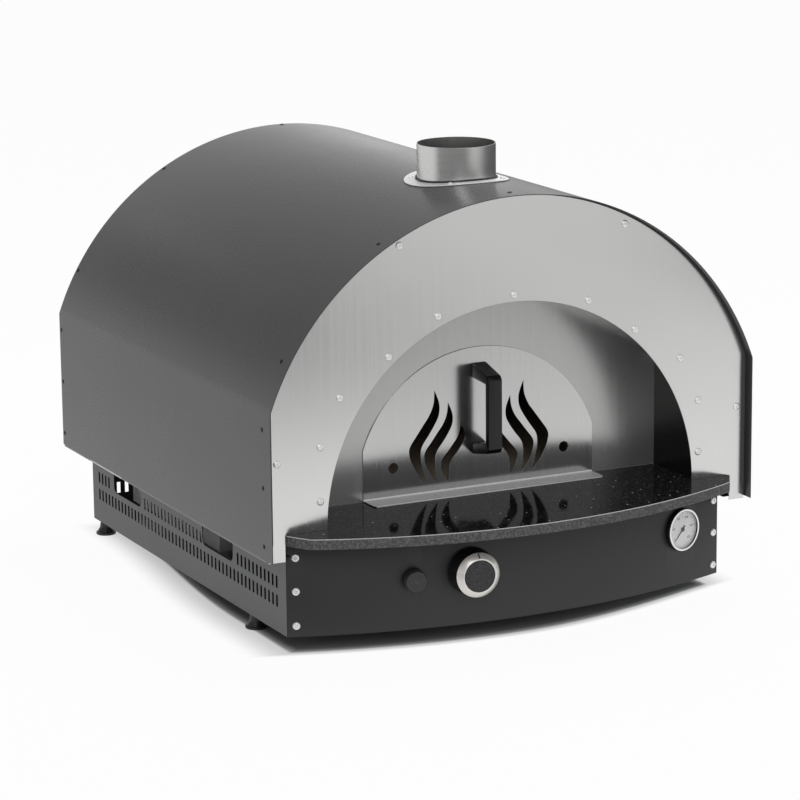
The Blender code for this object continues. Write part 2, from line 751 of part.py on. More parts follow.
def make_rails(oven, zinc):
    """Channels across the base, under the deck."""
    reach = BASE_HALF_WIDTH - BASE_FLANGE - GAP
    for name, place in zip(("cross_rail_front", "cross_rail_rear"), RAIL_PLACES):
        near = place - RAIL_WIDTH / 2
        far = place + RAIL_WIDTH / 2
        path = [(far, SHEET - RAIL_HEIGHT), (far, SHEET), (near, SHEET), (near, SHEET - RAIL_HEIGHT)]
        piece(name, folded(path, strip(0, SHEET, -reach, reach), side_plane), zinc, oven)


def clear_of_windows(y):
    """Whether a place has sheet enough for an upper slot: beyond the windows more sheet is left."""
    middle = sum(WINDOW_CENTRES) / len(WINDOW_CENTRES)
    for centre in WINDOW_CENTRES:
        beyond = (y - centre) * (centre - middle) > 0
        land = WINDOW_OUTER_LAND if beyond else WINDOW_INNER_LAND
        if abs(y - centre) < (WINDOW_LENGTH + SLOT_WIDTH) / 2 + land:
            return False
    return True


def slot_cutters():
    """Slots of the right side: a full lower row and an upper row broken by the two windows."""
    x_range = (BASE_HALF_WIDTH - SHEET - OVERRUN, BASE_HALF_WIDTH + OVERRUN)
    cutters = []
    for i in range(SLOT_COUNT):
        y = SLOT_REAR - i * SLOT_PITCH
        y_range = (y - SLOT_WIDTH / 2, y + SLOT_WIDTH / 2)
        cutters.append(box(x_range, y_range, (-LOW_SLOT_DROP, -LOW_SLOT_DROP + SLOT_HEIGHT)))
        if clear_of_windows(y):
            cutters.append(box(x_range, y_range, (-HIGH_SLOT_DROP, -HIGH_SLOT_DROP + SLOT_HEIGHT)))
    for centre in WINDOW_CENTRES:
        low = -WINDOW_DROP
        high = low + WINDOW_HEIGHT
        near = centre - WINDOW_LENGTH / 2
        far = centre + WINDOW_LENGTH / 2
        outline = rounded_rectangle(near, far, low, high, WINDOW_CORNER, WINDOW_CORNER_STEPS)
        cutters.append(prism(outline, *x_range, side_plane))
    return cutters


def rounded_rectangle(left, right, low, high, radius, steps):
    """Rectangle with round corners."""
    outline = arc((left + radius, low + radius), radius, pi, 3 * pi / 2, steps)
    outline += arc((right - radius, low + radius), radius, -pi / 2, 0, steps)
    outline += arc((right - radius, high - radius), radius, 0, pi / 2, steps)
    outline += arc((left + radius, high - radius), radius, pi / 2, pi, steps)
    return outline


def over_feet(radius, bottom, top):
    """Four rods, one above each foot."""
    rods = []
    for x in (-FOOT_X, FOOT_X):
        for y in FOOT_PLACES:
            rods.append(moved(rod(radius, bottom, top, SMALL_STEPS), Matrix.Translation((x, y, 0))))
    return joined(rods)


def make_base_sides(oven, paint):
    """Side panels: folded in at front, rear, top and bottom, slotted, with two hand-holds each."""
    setback = SHEET + GAP
    start = BASE_HALF_WIDTH - PANEL_SCREW_FLANGE
    inner_start = panel_y(start) + setback / cos(panel_turn(start))
    corner = panel_y(BASE_HALF_WIDTH) + setback / cos(panel_turn(BASE_HALF_WIDTH))
    path = [(start, inner_start), (BASE_HALF_WIDTH, corner)]
    path += [(BASE_HALF_WIDTH, BASE_REAR), (start, BASE_REAR)]
    for name, sign in (("base_side_right", 1), ("base_side_left", -1)):
        flip = Matrix.Scale(sign, 4, (1, 0, 0))
        wall = folded(path, strip(0, SHEET, -BASE_HEIGHT, SHEET), plan)
        side = piece(name, moved(wall, flip), paint, oven)
        x_range = (BASE_HALF_WIDTH - BASE_FLANGE, BASE_HALF_WIDTH - SHEET / 2)
        y_range = (corner + SHEET / 2, BASE_REAR - SHEET / 2)
        low = box(x_range, y_range, (-BASE_HEIGHT, -BASE_HEIGHT + SHEET))
        high = box(x_range, y_range, (0, SHEET))
        combine(side, "UNION", moved(joined([low, high]), flip))
        combine(side, "DIFFERENCE", moved(joined(slot_cutters()), flip))
        studs = over_feet(STUD_RADIUS + STUD_CLEARANCE, -BASE_HEIGHT - OVERRUN, -OVERRUN)
        combine(side, "DIFFERENCE", studs)


def make_base_rear(oven, paint):
    """Rear panel inside the sides' rear flanges, with slots each side of the gas inlet."""
    reach = BASE_HALF_WIDTH - SHEET - GAP
    back = BASE_REAR - SHEET - GAP
    plate = box((-reach, reach), (back - SHEET, back), (FLOOR_TOP + GAP, -GAP))
    panel = piece("base_rear_panel", plate, paint, oven)
    y_range = (back - SHEET - OVERRUN, back + OVERRUN)
    cutters = [along_y(rod(INLET_RADIUS + GAP, 0, SHEET + 2 * OVERRUN), inlet_x(), y_range[0], inlet_z())]
    inner = abs(inlet_x()) + INLET_RADIUS + REAR_SLOT_CLEARANCE
    count = 1 + int((REAR_SLOT_OUTER - inner) / SLOT_PITCH)
    for sign in (-1, 1):
        for i in range(count):
            x = sign * (REAR_SLOT_OUTER - i * SLOT_PITCH)
            x_range = (x - SLOT_WIDTH / 2, x + SLOT_WIDTH / 2)
            for drop in (LOW_SLOT_DROP, HIGH_SLOT_DROP):
                cutters.append(box(x_range, y_range, (-drop, -drop + SLOT_HEIGHT)))
    combine(panel, "DIFFERENCE", joined(cutters))


def make_base_floor(oven, paint):
    """Bottom tray on the sides' lower flanges, with weld nuts for the feet."""
    reach = BASE_HALF_WIDTH - SHEET - GAP
    edge = offset_path(bow(BASE_HALF_WIDTH, PANEL_FRONT, PANEL_RADIUS), 2 * (SHEET + GAP) + GAP)
    setback = edge[-1][1]
    back = BASE_REAR - SHEET - GAP
    outline = [(-reach, setback), *edge[1:-1], (reach, setback), (reach, back), (-reach, back)]
    floor = piece("base_floor", prism(outline, FLOOR_BOTTOM, FLOOR_TOP, plan), paint, oven)
    top = FLOOR_TOP + NUT_HEIGHT
    combine(floor, "UNION", over_feet(NUT_RADIUS, FLOOR_BOTTOM + SHEET / 2, top))
    through = (FLOOR_BOTTOM - OVERRUN, top + OVERRUN)
    combine(floor, "DIFFERENCE", over_feet(STUD_RADIUS + STUD_CLEARANCE, *through))


def make_control_panel(oven, paint):
    """Bowed front panel with a turned-in top edge and holes for its instruments."""
    top = PANEL_RISE
    section = [(0, -BASE_HEIGHT), (SHEET, -BASE_HEIGHT), (SHEET, top - SHEET)]
    section += [(PANEL_FLANGE, top - SHEET), (PANEL_FLANGE, top), (0, top)]
    path = bow(BASE_HALF_WIDTH, PANEL_FRONT, PANEL_RADIUS)
    panel = piece("control_panel", folded(path, section, plan), paint, oven)
    places = (
        (KNOB_X, KNOB_DROP, SPINDLE_RADIUS + 2 * BORE_CLEARANCE),
        (BUTTON_X, BUTTON_DROP, PIEZO_NECK + GAP),
        (DIAL_X, DIAL_DROP, CASE_RADIUS + GAP),
    )
    holes = [moved(rod(r, -SHEET - OVERRUN, OVERRUN), station(x, drop)) for x, drop, r in places]
    combine(panel, "DIFFERENCE", joined(holes))


def make_shelf(oven, granite, zinc):
    """Stone shelf on two channels, its sides running back to the mouth plate."""
    centre_x = SHELF_HALF_WIDTH - SHELF_CORNER
    inner_radius = SHELF_RADIUS - SHELF_CORNER
    centre_y = SHELF_FRONT + SHELF_RADIUS - sqrt(inner_radius ** 2 - centre_x ** 2)
    reach = asin(centre_x / inner_radius)
    left = arc((-centre_x, centre_y), SHELF_CORNER, pi, 3 * pi / 2 - reach, SHELF_CORNER_STEPS)
    right = arc((centre_x, centre_y), SHELF_CORNER, -pi / 2 + reach, 0, SHELF_CORNER_STEPS)
    edge = bow(SHELF_RADIUS * centre_x / inner_radius, SHELF_FRONT, SHELF_RADIUS)
    back = MOUTH_FRONT - GAP
    outline = [*left, *edge[1:-1], *right, (SHELF_HALF_WIDTH, back), (-SHELF_HALF_WIDTH, back)]
    shelf = piece("granite_shelf", prism(outline, SHELF_BOTTOM, SHELF_TOP, plan), granite, oven)
    soften(shelf, SHELF_EDGE)
    low = DECK_TOP + GAP
    high = SHELF_BOTTOM - GAP
    front = panel_y(BRACKET_X + BRACKET_WIDTH / 2) + PANEL_FLANGE + BRACKET_SETBACK
    for name, x in (("shelf_bracket_left", -BRACKET_X), ("shelf_bracket_right", BRACKET_X)):
        left = x - BRACKET_WIDTH / 2
        right = x + BRACKET_WIDTH / 2
        path = [(right, low), (right, high), (left, high), (left, low)]
        channel = folded(path, strip(0, SHEET, front, back), front_plane)
        piece(name, channel, zinc, oven)


def make_hood(oven, steel):
    """Folded hood from the face plate back to the chamber, and the plate that closes it."""
    foot = SHELF_TOP + GAP
    path = [(HOOD_HALF_WIDTH, foot), (HOOD_HALF_WIDTH, HOOD_SIDE), (HOOD_TOP_HALF_WIDTH, HOOD_TOP)]
    path += [(-HOOD_TOP_HALF_WIDTH, HOOD_TOP), (-HOOD_HALF_WIDTH, HOOD_SIDE), (-HOOD_HALF_WIDTH, foot)]
    back = MOUTH_FRONT - GAP
    web = FRAME_FRONT + HOOD_SHEET
    section = [(0, FRAME_FRONT), (-HOOD_FLANGE, FRAME_FRONT), (-HOOD_FLANGE, web)]
    section += [(-HOOD_SHEET, web), (-HOOD_SHEET, back), (0, back)]
    piece("throat_liner", folded(path, section, front_plane), steel, oven)
    outline = offset_path(arch(VAULT_HALF_WIDTH, BOARD_BOTTOM, VAULT_SPRING, VAULT_CREST), -BLANKET_OUT)
    outline[0] = (outline[0][0], BOARD_BOTTOM)
    outline[-1] = (outline[-1][0], BOARD_BOTTOM)
    plate = piece("mouth_plate", prism(outline, MOUTH_FRONT, MOUTH_REAR, front_plane), steel, oven)
    mouth = arch(MOUTH_HALF_WIDTH, SHELF_TOP, MOUTH_SPRING, MOUTH_CREST, VAULT_STEPS)
    combine(plate, "DIFFERENCE", prism(mouth, MOUTH_FRONT - OVERRUN, MOUTH_REAR + OVERRUN, front_plane))


def make_hearth(oven, zinc, board, stone):
    """Insulating board, tray and the stones that the food lies on."""
    y_range = (TRAY_FRONT, TRAY_REAR)
    x_range = (-TRAY_HALF_WIDTH, TRAY_HALF_WIDTH)
    slab = piece("floor_insulation", box(x_range, y_range, (BOARD_BOTTOM, TRAY_BOTTOM - GAP)), board, oven)
    combine(slab, "DIFFERENCE", burner_cut(BOARD_BOTTOM, TRAY_BOTTOM))
    outer = rectangle(x_range, y_range, 0)
    inner = rectangle(x_range, y_range, TRAY_SHEET)
    bm = pan(outer, inner, TRAY_BOTTOM, TRAY_TOP, TRAY_BOTTOM + TRAY_RIM, plan)
    tray = piece("hearth_tray", bm, zinc, oven)
    combine(tray, "DIFFERENCE", burner_cut(TRAY_BOTTOM, TRAY_TOP))
    left = BOX_RIGHT + BOX_FLANGE + STONE_JOINT
    right = VAULT_HALF_WIDTH - STONE_JOINT
    width = (right - left - STONE_JOINT) / 2
    depth = (CHAMBER_BACK - CHAMBER_FRONT - STONE_JOINT) / 2
    height = (HEARTH_BOTTOM, HEARTH_TOP)
    number = 0
    for column in range(2):
        for row in range(2):
            number += 1
            x = left + column * (width + STONE_JOINT)
            y = CHAMBER_FRONT + row * (depth + STONE_JOINT)
            piece(f"hearth_stone_{number}", box((x, x + width), (y, y + depth), height), stone, oven)
    x_range = (-right, left - STONE_JOINT)
    y_range = (CHAMBER_FRONT, BOX_FRONT - BOX_FLANGE - STONE_JOINT)
    piece("hearth_side_stone", box(x_range, y_range, height), stone, oven)


def rectangle(x_range, y_range, inset):
    """Rectangle in plan, drawn in on every side."""
    (x0, x1), (y0, y1) = x_range, y_range
    x0, x1, y0, y1 = x0 + inset, x1 - inset, y0 + inset, y1 - inset
    return [(x0, y0), (x1, y0), (x1, y1), (x0, y1)]


def make_vault(oven, steel, fibre):
    """Arched lining, its blanket and the wall behind the chamber."""
    path = arch(VAULT_HALF_WIDTH, HEARTH_BOTTOM, VAULT_SPRING, VAULT_CREST, VAULT_STEPS)
    span = (CHAMBER_FRONT, CHAMBER_BACK)
    lining = piece("vault_lining", folded(path, strip(-VAULT_SHEET, 0, *span), front_plane), steel, oven)
    layer = strip(-BLANKET_OUT, -VAULT_SHEET - GAP, *span)
    blanket = piece("vault_blanket", folded(path, layer, front_plane), fibre, oven)
    bulb_hole = LEAD_RADIUS + CAPILLARY_CLEARANCE
    for obj in (lining, blanket):
        flue = rod(FLUE_RADIUS + GAP, VAULT_CREST - BLANKET, FLUE_TOP, FLUE_STEPS)
        flue = moved(flue, Matrix.Translation((0, FLUE_CENTRE, 0)))
        entry = rod(bulb_hole, 0, CAPILLARY_X - CAPILLARY_TIP, SMALL_STEPS)
        entry = along_x(entry, CAPILLARY_TIP, CAPILLARY_ENTRY, CAPILLARY_TOP)
        combine(obj, "DIFFERENCE", joined([flue, entry]))
    back = offset_path(path, -BLANKET_OUT)
    wall = prism(back, CHAMBER_BACK + GAP, BACK_REAR, front_plane)
    piece("chamber_back_wall", wall, steel, oven)


def make_burner(oven, steel, brass, ceramic):
    """Burner box hung by its flange, tube burner, guard, jet and the two probes."""
    x_range = (BOX_LEFT, BOX_RIGHT)
    y_range = (BOX_FRONT, BOX_REAR)
    outer = rectangle(x_range, y_range, 0)
    inner = rectangle(x_range, y_range, SHEET)
    top = HEARTH_BOTTOM + SHEET
    bottom = -BOX_DROP
    trough = piece("burner_box", pan(outer, inner, bottom, bottom + SHEET, top, plan), steel, oven)
    flange = box(*[(a - BOX_FLANGE, b + BOX_FLANGE) for a, b in (x_range, y_range)], (HEARTH_BOTTOM, top))
    combine(trough, "UNION", flange)
    hollow = [(a + SHEET, b - SHEET) for a, b in (x_range, y_range)]
    combine(trough, "DIFFERENCE", box(*hollow, (bottom + SHEET, top + OVERRUN)))
    probe_y = BOX_FRONT - PROBE_FRONT
    holes = [along_y(rod(TUBE_RADIUS + GAP, -OVERRUN, SHEET + OVERRUN), TUBE_CENTRE, BOX_FRONT, -TUBE_DROP)]
    for sign in (-1, 1):
        hole = rod(PROBE_RADIUS + GAP, -OVERRUN, SHEET + OVERRUN, SMALL_STEPS)
        holes.append(along_y(hole, TUBE_CENTRE + sign * PROBE_SPREAD, BOX_FRONT, -TUBE_DROP))
    combine(trough, "DIFFERENCE", joined(holes))
    length = BOX_REAR - SHEET - GAP - TUBE_MOUTH
    inner_radius = TUBE_RADIUS - TUBE_WALL
    profile = [(0, length - TUBE_WALL), (inner_radius, length - TUBE_WALL), (inner_radius, 0)]
    profile += [(TUBE_RADIUS, 0), (TUBE_RADIUS, length), (0, length)]
    bm = along_y(turned(profile), TUBE_CENTRE, TUBE_MOUTH, -TUBE_DROP)
    burner = piece("burner_tube", bm, steel, oven)
    pitch = (BOX_REAR - BOX_FRONT) / PORT_COUNT
    ports = []
    for i in range(PORT_COUNT):
        middle = BOX_FRONT + pitch / 2 + i * pitch
        span = (middle - PORT_LENGTH / 2, middle + PORT_LENGTH / 2)
        across = (TUBE_CENTRE - PORT_WIDTH / 2, TUBE_CENTRE + PORT_WIDTH / 2)
        ports.append(box(across, span, (-TUBE_DROP + inner_radius / 2, -TUBE_DROP + 2 * TUBE_RADIUS)))
    combine(burner, "DIFFERENCE", joined(ports))
    foot = top + GAP
    edge = BOX_RIGHT + BOX_FLANGE
    path = [(BOX_RIGHT, foot), (edge, foot), (edge, foot + GUARD_HEIGHT)]
    guard = piece("burner_guard", folded(path, strip(0, SHEET, *y_range), front_plane), steel, oven)
    slots = []
    pitch = (BOX_REAR - BOX_FRONT) / GUARD_SLOTS
    for i in range(GUARD_SLOTS):
        middle = BOX_FRONT + pitch / 2 + i * pitch
        span = (middle - GUARD_SLOT_WIDTH / 2, middle + GUARD_SLOT_WIDTH / 2)
        rise = foot + (GUARD_HEIGHT - GUARD_SLOT_HEIGHT) / 2
        slots.append(box((BOX_RIGHT, edge + OVERRUN), span, (rise, rise + GUARD_SLOT_HEIGHT)))
    combine(guard, "DIFFERENCE", joined(slots))
    waist = JET_RADIUS / 2
    profile = [(0, 0), (JET_RADIUS, 0), (JET_RADIUS, JET_LENGTH / 2), (waist, JET_LENGTH), (0, JET_LENGTH)]
    jet = turned(profile, SMALL_STEPS)
    piece("gas_jet", along_y(jet, TUBE_CENTRE, TUBE_MOUTH - JET_LENGTH / 2, -TUBE_DROP), brass, oven)
    for name, sign in (("ignition_electrode", -1), ("flame_sensor", 1)):
        tip = PROBE_RADIUS / 2
        profile = [(0, 0), (PROBE_RADIUS, 0), (PROBE_RADIUS, PROBE_LENGTH / 2), (tip, PROBE_LENGTH / 2)]
        profile += [(tip, PROBE_LENGTH), (0, PROBE_LENGTH)]
        x = TUBE_CENTRE + sign * PROBE_SPREAD
        piece(name, along_y(turned(profile, SMALL_STEPS), x, probe_y, -TUBE_DROP), ceramic, oven)


def inlet_x():
    """Place across the oven of the supply pipe and its inlet."""
    return (station(KNOB_X, KNOB_DROP) @ Vector((VALVE_PORT_SPREAD, 0, -VALVE_DEPTH))).x


def inlet_z():
    """Height of the supply pipe and its inlet."""
    return -KNOB_DROP - VALVE_PORT_DROP


def make_gas_line(oven, brass, copper, rubber):
    """Inlet, supply pipe, burner pipe and the spark lead."""
    frame = station(KNOB_X, KNOB_DROP)
    back = BASE_REAR - SHEET - GAP
    collar = INLET_INSIDE - INLET_FLANGE
    profile = [(0, 0), (INLET_RADIUS, 0), (INLET_RADIUS, collar), (INLET_FLANGE_RADIUS, collar)]
    profile += [(INLET_FLANGE_RADIUS, INLET_INSIDE), (INLET_RADIUS, INLET_INSIDE)]
    profile += [(INLET_RADIUS, INLET_LENGTH), (INLET_BORE, INLET_LENGTH), (INLET_BORE, INLET_INSIDE)]
    profile += [(0, INLET_INSIDE)]
    start = back - SHEET - GAP - INLET_INSIDE
    piece("gas_inlet", along_y(turned(profile), inlet_x(), start, inlet_z()), brass, oven)
    end = Vector((inlet_x(), start - GAP, inlet_z()))
    route = straight_out(frame, VALVE_PORT_SPREAD, -VALVE_PORT_DROP, -VALVE_DEPTH - GAP)
    middle = Vector((end.x, route[1].y + 2 * BEND_RADIUS, end.z))
    pipe("supply_pipe", [*route, middle, end], PIPE_RADIUS, copper, oven)
    jet = Vector((TUBE_CENTRE, TUBE_MOUTH - JET_LENGTH / 2 - GAP, -TUBE_DROP))
    route = straight_out(frame, -VALVE_PORT_SPREAD, VALVE_PORT_DROP, -VALVE_DEPTH - GAP)
    turn = Vector((route[1].x, PIPE_TURN, route[1].z))
    corner = Vector((jet.x, PIPE_TURN, jet.z))
    pipe("burner_pipe", [*route, turn, corner, jet], PIPE_RADIUS, copper, oven)
    probe = Vector((TUBE_CENTRE - PROBE_SPREAD, BOX_FRONT - PROBE_FRONT - GAP, -TUBE_DROP))
    route = straight_out(station(BUTTON_X, BUTTON_DROP), 0, 0, -PIEZO_DEPTH - GAP)
    under = Vector((probe.x, RAIL_PLACES[0] + 2 * RAIL_WIDTH, route[1].z))
    corner = Vector((probe.x, PIPE_TURN, probe.z))
    pipe("ignition_lead", [*route, under, corner, probe], LEAD_RADIUS, rubber, oven)


def straight_out(frame, across, up, depth):
    """First two points of a pipe that leaves a port squarely."""
    return [frame @ Vector((across, up, depth)), frame @ Vector((across, up, depth - 2 * BEND_RADIUS))]


def make_knob(oven, black, chrome, brass, steel):
    """Gas valve behind the panel and the knob that is pushed in and turned."""
    valve_frame = station_empty("valve_frame", KNOB_X, KNOB_DROP, oven)
    half = (-VALVE_HALF_WIDTH, VALVE_HALF_WIDTH)
    valve = piece("gas_valve", box(half, half, (-VALVE_DEPTH, VALVE_FRONT)), brass, valve_frame)
    bore = rod(PLUNGER_RADIUS + BORE_CLEARANCE, BORE_FLOOR, OVERRUN, SMALL_STEPS)
    combine(valve, "DIFFERENCE", bore)
    plunger = rod(PLUNGER_RADIUS, -PLUNGER_SEAT, -PLUNGER_SEAT + PLUNGER_DEPTH, SMALL_STEPS)
    piece("valve_plunger", plunger, brass, valve_frame)
    knob_frame = station_empty("knob_frame", KNOB_X, KNOB_DROP, oven)
    piece("valve_spindle", rod(SPINDLE_RADIUS, SPINDLE_TAIL, SPINDLE_REACH, SMALL_STEPS), steel, knob_frame)
    socket = SPINDLE_RADIUS + GAP
    boss = RING_INNER - GAP
    profile = [(0, SPINDLE_REACH + GAP), (socket, SPINDLE_REACH + GAP), (socket, KNOB_LIFT)]
    profile += [(KNOB_RADIUS, KNOB_LIFT), (RING_RADIUS, KNOB_FACE - GAP), (boss, KNOB_FACE - GAP)]
    profile += [(boss, KNOB_FACE), (0, KNOB_FACE)]
    piece("knob_skirt", turned(profile), black, knob_frame)
    top = KNOB_FACE + RING_DEPTH
    profile = [(RING_INNER, KNOB_FACE), (RING_RADIUS, KNOB_FACE), (RING_RADIUS, KNOB_FACE + RING_EDGE)]
    profile += [(RING_INNER + RING_LAND, top), (RING_INNER, top)]
    piece("knob_ring", turned(profile), chrome, knob_frame)
    cap = rod(boss, KNOB_FACE + GAP, KNOB_FACE + GAP + CAP_DEPTH)
    piece("knob_cap", cap, black, knob_frame)


def make_igniter(oven, black, zinc):
    """Push button in its collar, with the spark unit behind the panel."""
    spark_frame = station_empty("spark_frame", BUTTON_X, BUTTON_DROP, oven)
    neck_top = GAP + COLLAR_WEB
    bore = STEM_RADIUS + GAP
    floor = neck_top + BUTTON_TRAVEL + BUTTON_CLEARANCE
    stem_tail = floor - STEM_REACH - BUTTON_TRAVEL
    profile = [(0, -PIEZO_DEPTH), (PIEZO_RADIUS, -PIEZO_DEPTH), (PIEZO_RADIUS, VALVE_FRONT)]
    profile += [(PIEZO_NECK, VALVE_FRONT), (PIEZO_NECK, neck_top), (bore, neck_top)]
    profile += [(bore, stem_tail - BUTTON_TRAVEL - GAP), (0, stem_tail - BUTTON_TRAVEL - GAP)]
    piece("piezo_body", turned(profile, SMALL_STEPS), zinc, spark_frame)
    inner = BUTTON_RADIUS + GAP
    outer = inner + COLLAR_WALL
    profile = [(PIEZO_NECK + GAP, GAP), (outer, GAP), (outer, COLLAR_OUT), (inner, COLLAR_OUT)]
    profile += [(inner, neck_top), (PIEZO_NECK + GAP, neck_top)]
    piece("igniter_collar", turned(profile), black, spark_frame)
    button_frame = station_empty("button_frame", BUTTON_X, BUTTON_DROP, oven)
    profile = [(0, stem_tail), (STEM_RADIUS, stem_tail), (STEM_RADIUS, floor), (BUTTON_RADIUS, floor)]
    profile += [(BUTTON_RADIUS, BUTTON_OUT - BUTTON_EDGE), (BUTTON_RADIUS - BUTTON_EDGE, BUTTON_OUT)]
    piece("igniter_button", turned([*profile, (0, BUTTON_OUT)]), black, button_frame)


def make_thermometer(oven, steel, white, glass, paint, copper):
    """Dial thermometer let into the panel, with a sensing tube that runs up into the chamber."""
    frame = station_empty("thermometer_frame", DIAL_X, DIAL_DROP, oven)
    inner = CASE_RADIUS - CASE_WALL
    profile = [(0, -CASE_DEPTH), (CASE_RADIUS, -CASE_DEPTH), (CASE_RADIUS, CASE_OUT), (inner, CASE_OUT)]
    profile += [(inner, -CASE_DEPTH + CASE_WALL), (0, -CASE_DEPTH + CASE_WALL)]
    piece("thermometer_case", turned(profile), steel, frame)
    wall = BEZEL_RADIUS - BEZEL_WALL
    lip = BEZEL_OUT - BEZEL_LIP
    profile = [(wall, GAP), (BEZEL_RADIUS, GAP), (BEZEL_RADIUS, BEZEL_OUT - BEZEL_EDGE)]
    profile += [(BEZEL_RADIUS - BEZEL_EDGE, BEZEL_OUT), (BEZEL_WINDOW, BEZEL_OUT)]
    profile += [(BEZEL_WINDOW, lip), (wall, lip)]
    piece("thermometer_bezel", turned(profile), steel, frame)
    disc = wall - GAP
    piece("thermometer_dial", rod(disc, DIAL_BOTTOM, DIAL_BOTTOM + DIAL_SHEET), white, frame)
    piece("thermometer_glass", rod(disc, GLASS_TOP - GLASS_THICKNESS, GLASS_TOP), glass, frame)
    needle_frame = station_empty("needle_frame", DIAL_X, DIAL_DROP, oven)
    base = DIAL_BOTTOM + DIAL_SHEET + GAP
    half = NEEDLE_WIDTH / 2
    outline = [(0, -NEEDLE_LENGTH), (half, 0), (half, NEEDLE_TAIL), (-half, NEEDLE_TAIL), (-half, 0)]
    pointer = prism(outline, base + GAP, base + GAP + NEEDLE_SHEET, plan)
    lean = Matrix.Rotation(-NEEDLE_REST, 4, "Z")
    needle = piece("thermometer_needle", moved(pointer, lean), paint, needle_frame)
    combine(needle, "UNION", rod(NEEDLE_HUB, base, base + NEEDLE_HUB_DEPTH, SMALL_STEPS))
    tail = station(DIAL_X, DIAL_DROP) @ Vector((0, 0, -CASE_DEPTH - GAP - LEAD_RADIUS / 2))
    make_capillary(oven, copper, tail)


def make_capillary(oven, copper, tail):
    """Sensing tube from the dial's case, up through the deck, past the shelf, into the chamber."""
    level = (DECK_TOP + SHELF_BOTTOM) / 2
    route = [
        tail,
        (tail.x, CAPILLARY_TURN, tail.z),
        (CAPILLARY_HOLE_X, CAPILLARY_RISE_Y, tail.z),
        (CAPILLARY_HOLE_X, CAPILLARY_RISE_Y, level),
        (CAPILLARY_X, CAPILLARY_RISE_Y, level),
        (CAPILLARY_X, CAPILLARY_RISE_Y, CAPILLARY_TOP),
        (CAPILLARY_X, CAPILLARY_ENTRY, CAPILLARY_TOP),
        (CAPILLARY_TIP, CAPILLARY_ENTRY, CAPILLARY_TOP),
    ]
    pipe("thermometer_capillary", route, LEAD_RADIUS, copper, oven, bend=LEAD_BEND)


def make_flue(oven, steel):
    """Flue spigot from the chamber up through the casing, with a saddle flange."""
    x_place = Matrix.Translation((0, FLUE_CENTRE, 0))
    bottom = VAULT_CREST - FLUE_TAIL
    pipe_wall = tube(FLUE_RADIUS, FLUE_RADIUS - FLUE_WALL, bottom, FLUE_TOP, FLUE_STEPS)
    piece("flue_pipe", moved(pipe_wall, x_place), steel, oven)
    border = FLUE_RADIUS + FLANGE_BORDER
    path = arch(SHELL_HALF_WIDTH, 0, SHELL_SPRING, SHELL_CREST)
    reach = border + OVERRUN
    layer = strip(-GAP - FLANGE_SHEET, -GAP, FLUE_CENTRE - reach, FLUE_CENTRE + reach)
    flange = piece("flue_flange", folded(path[1:-1], layer, front_plane), steel, oven)
    low = SHELL_CREST - BLANKET
    ring = tube(border, FLUE_RADIUS + GAP, low, FLUE_TOP, FLUE_STEPS)
    combine(flange, "INTERSECT", moved(ring, x_place))


def flame(side, place, height, sway, breadth, bottom):
    """Outline of one flame from its bottom tip up one edge and down the other."""
    stations = []
    shares = (FLAME_SHARES[0], *FLAME_SHARES, FLAME_SHARES[-1])
    for a, b, c, d in zip(shares, shares[1:], shares[2:], shares[3:]):
        for i in range(FLAME_SPAN_STEPS):
            t = i / FLAME_SPAN_STEPS
            stations.append([curve_through(p, q, r, s, t) for p, q, r, s in zip(a, b, c, d)])
    stations.append(FLAME_SHARES[-1])
    left = []
    right = []
    for rise, lean, extra, width in stations:
        middle = place - side * height * (lean + extra * sway)
        half = side * height * breadth * width / 2
        left.append((middle + half, bottom + height * rise))
        right.append((middle - half, bottom + height * rise))
    return left + right[-2:0:-1]


def curve_through(p, q, r, s, t):
    """Smooth value between q and r, with p before and s after them."""
    return q + t * (r - p + t * (2 * p - 5 * q + 4 * r - s + t * (3 * (q - r) + s - p))) / 2


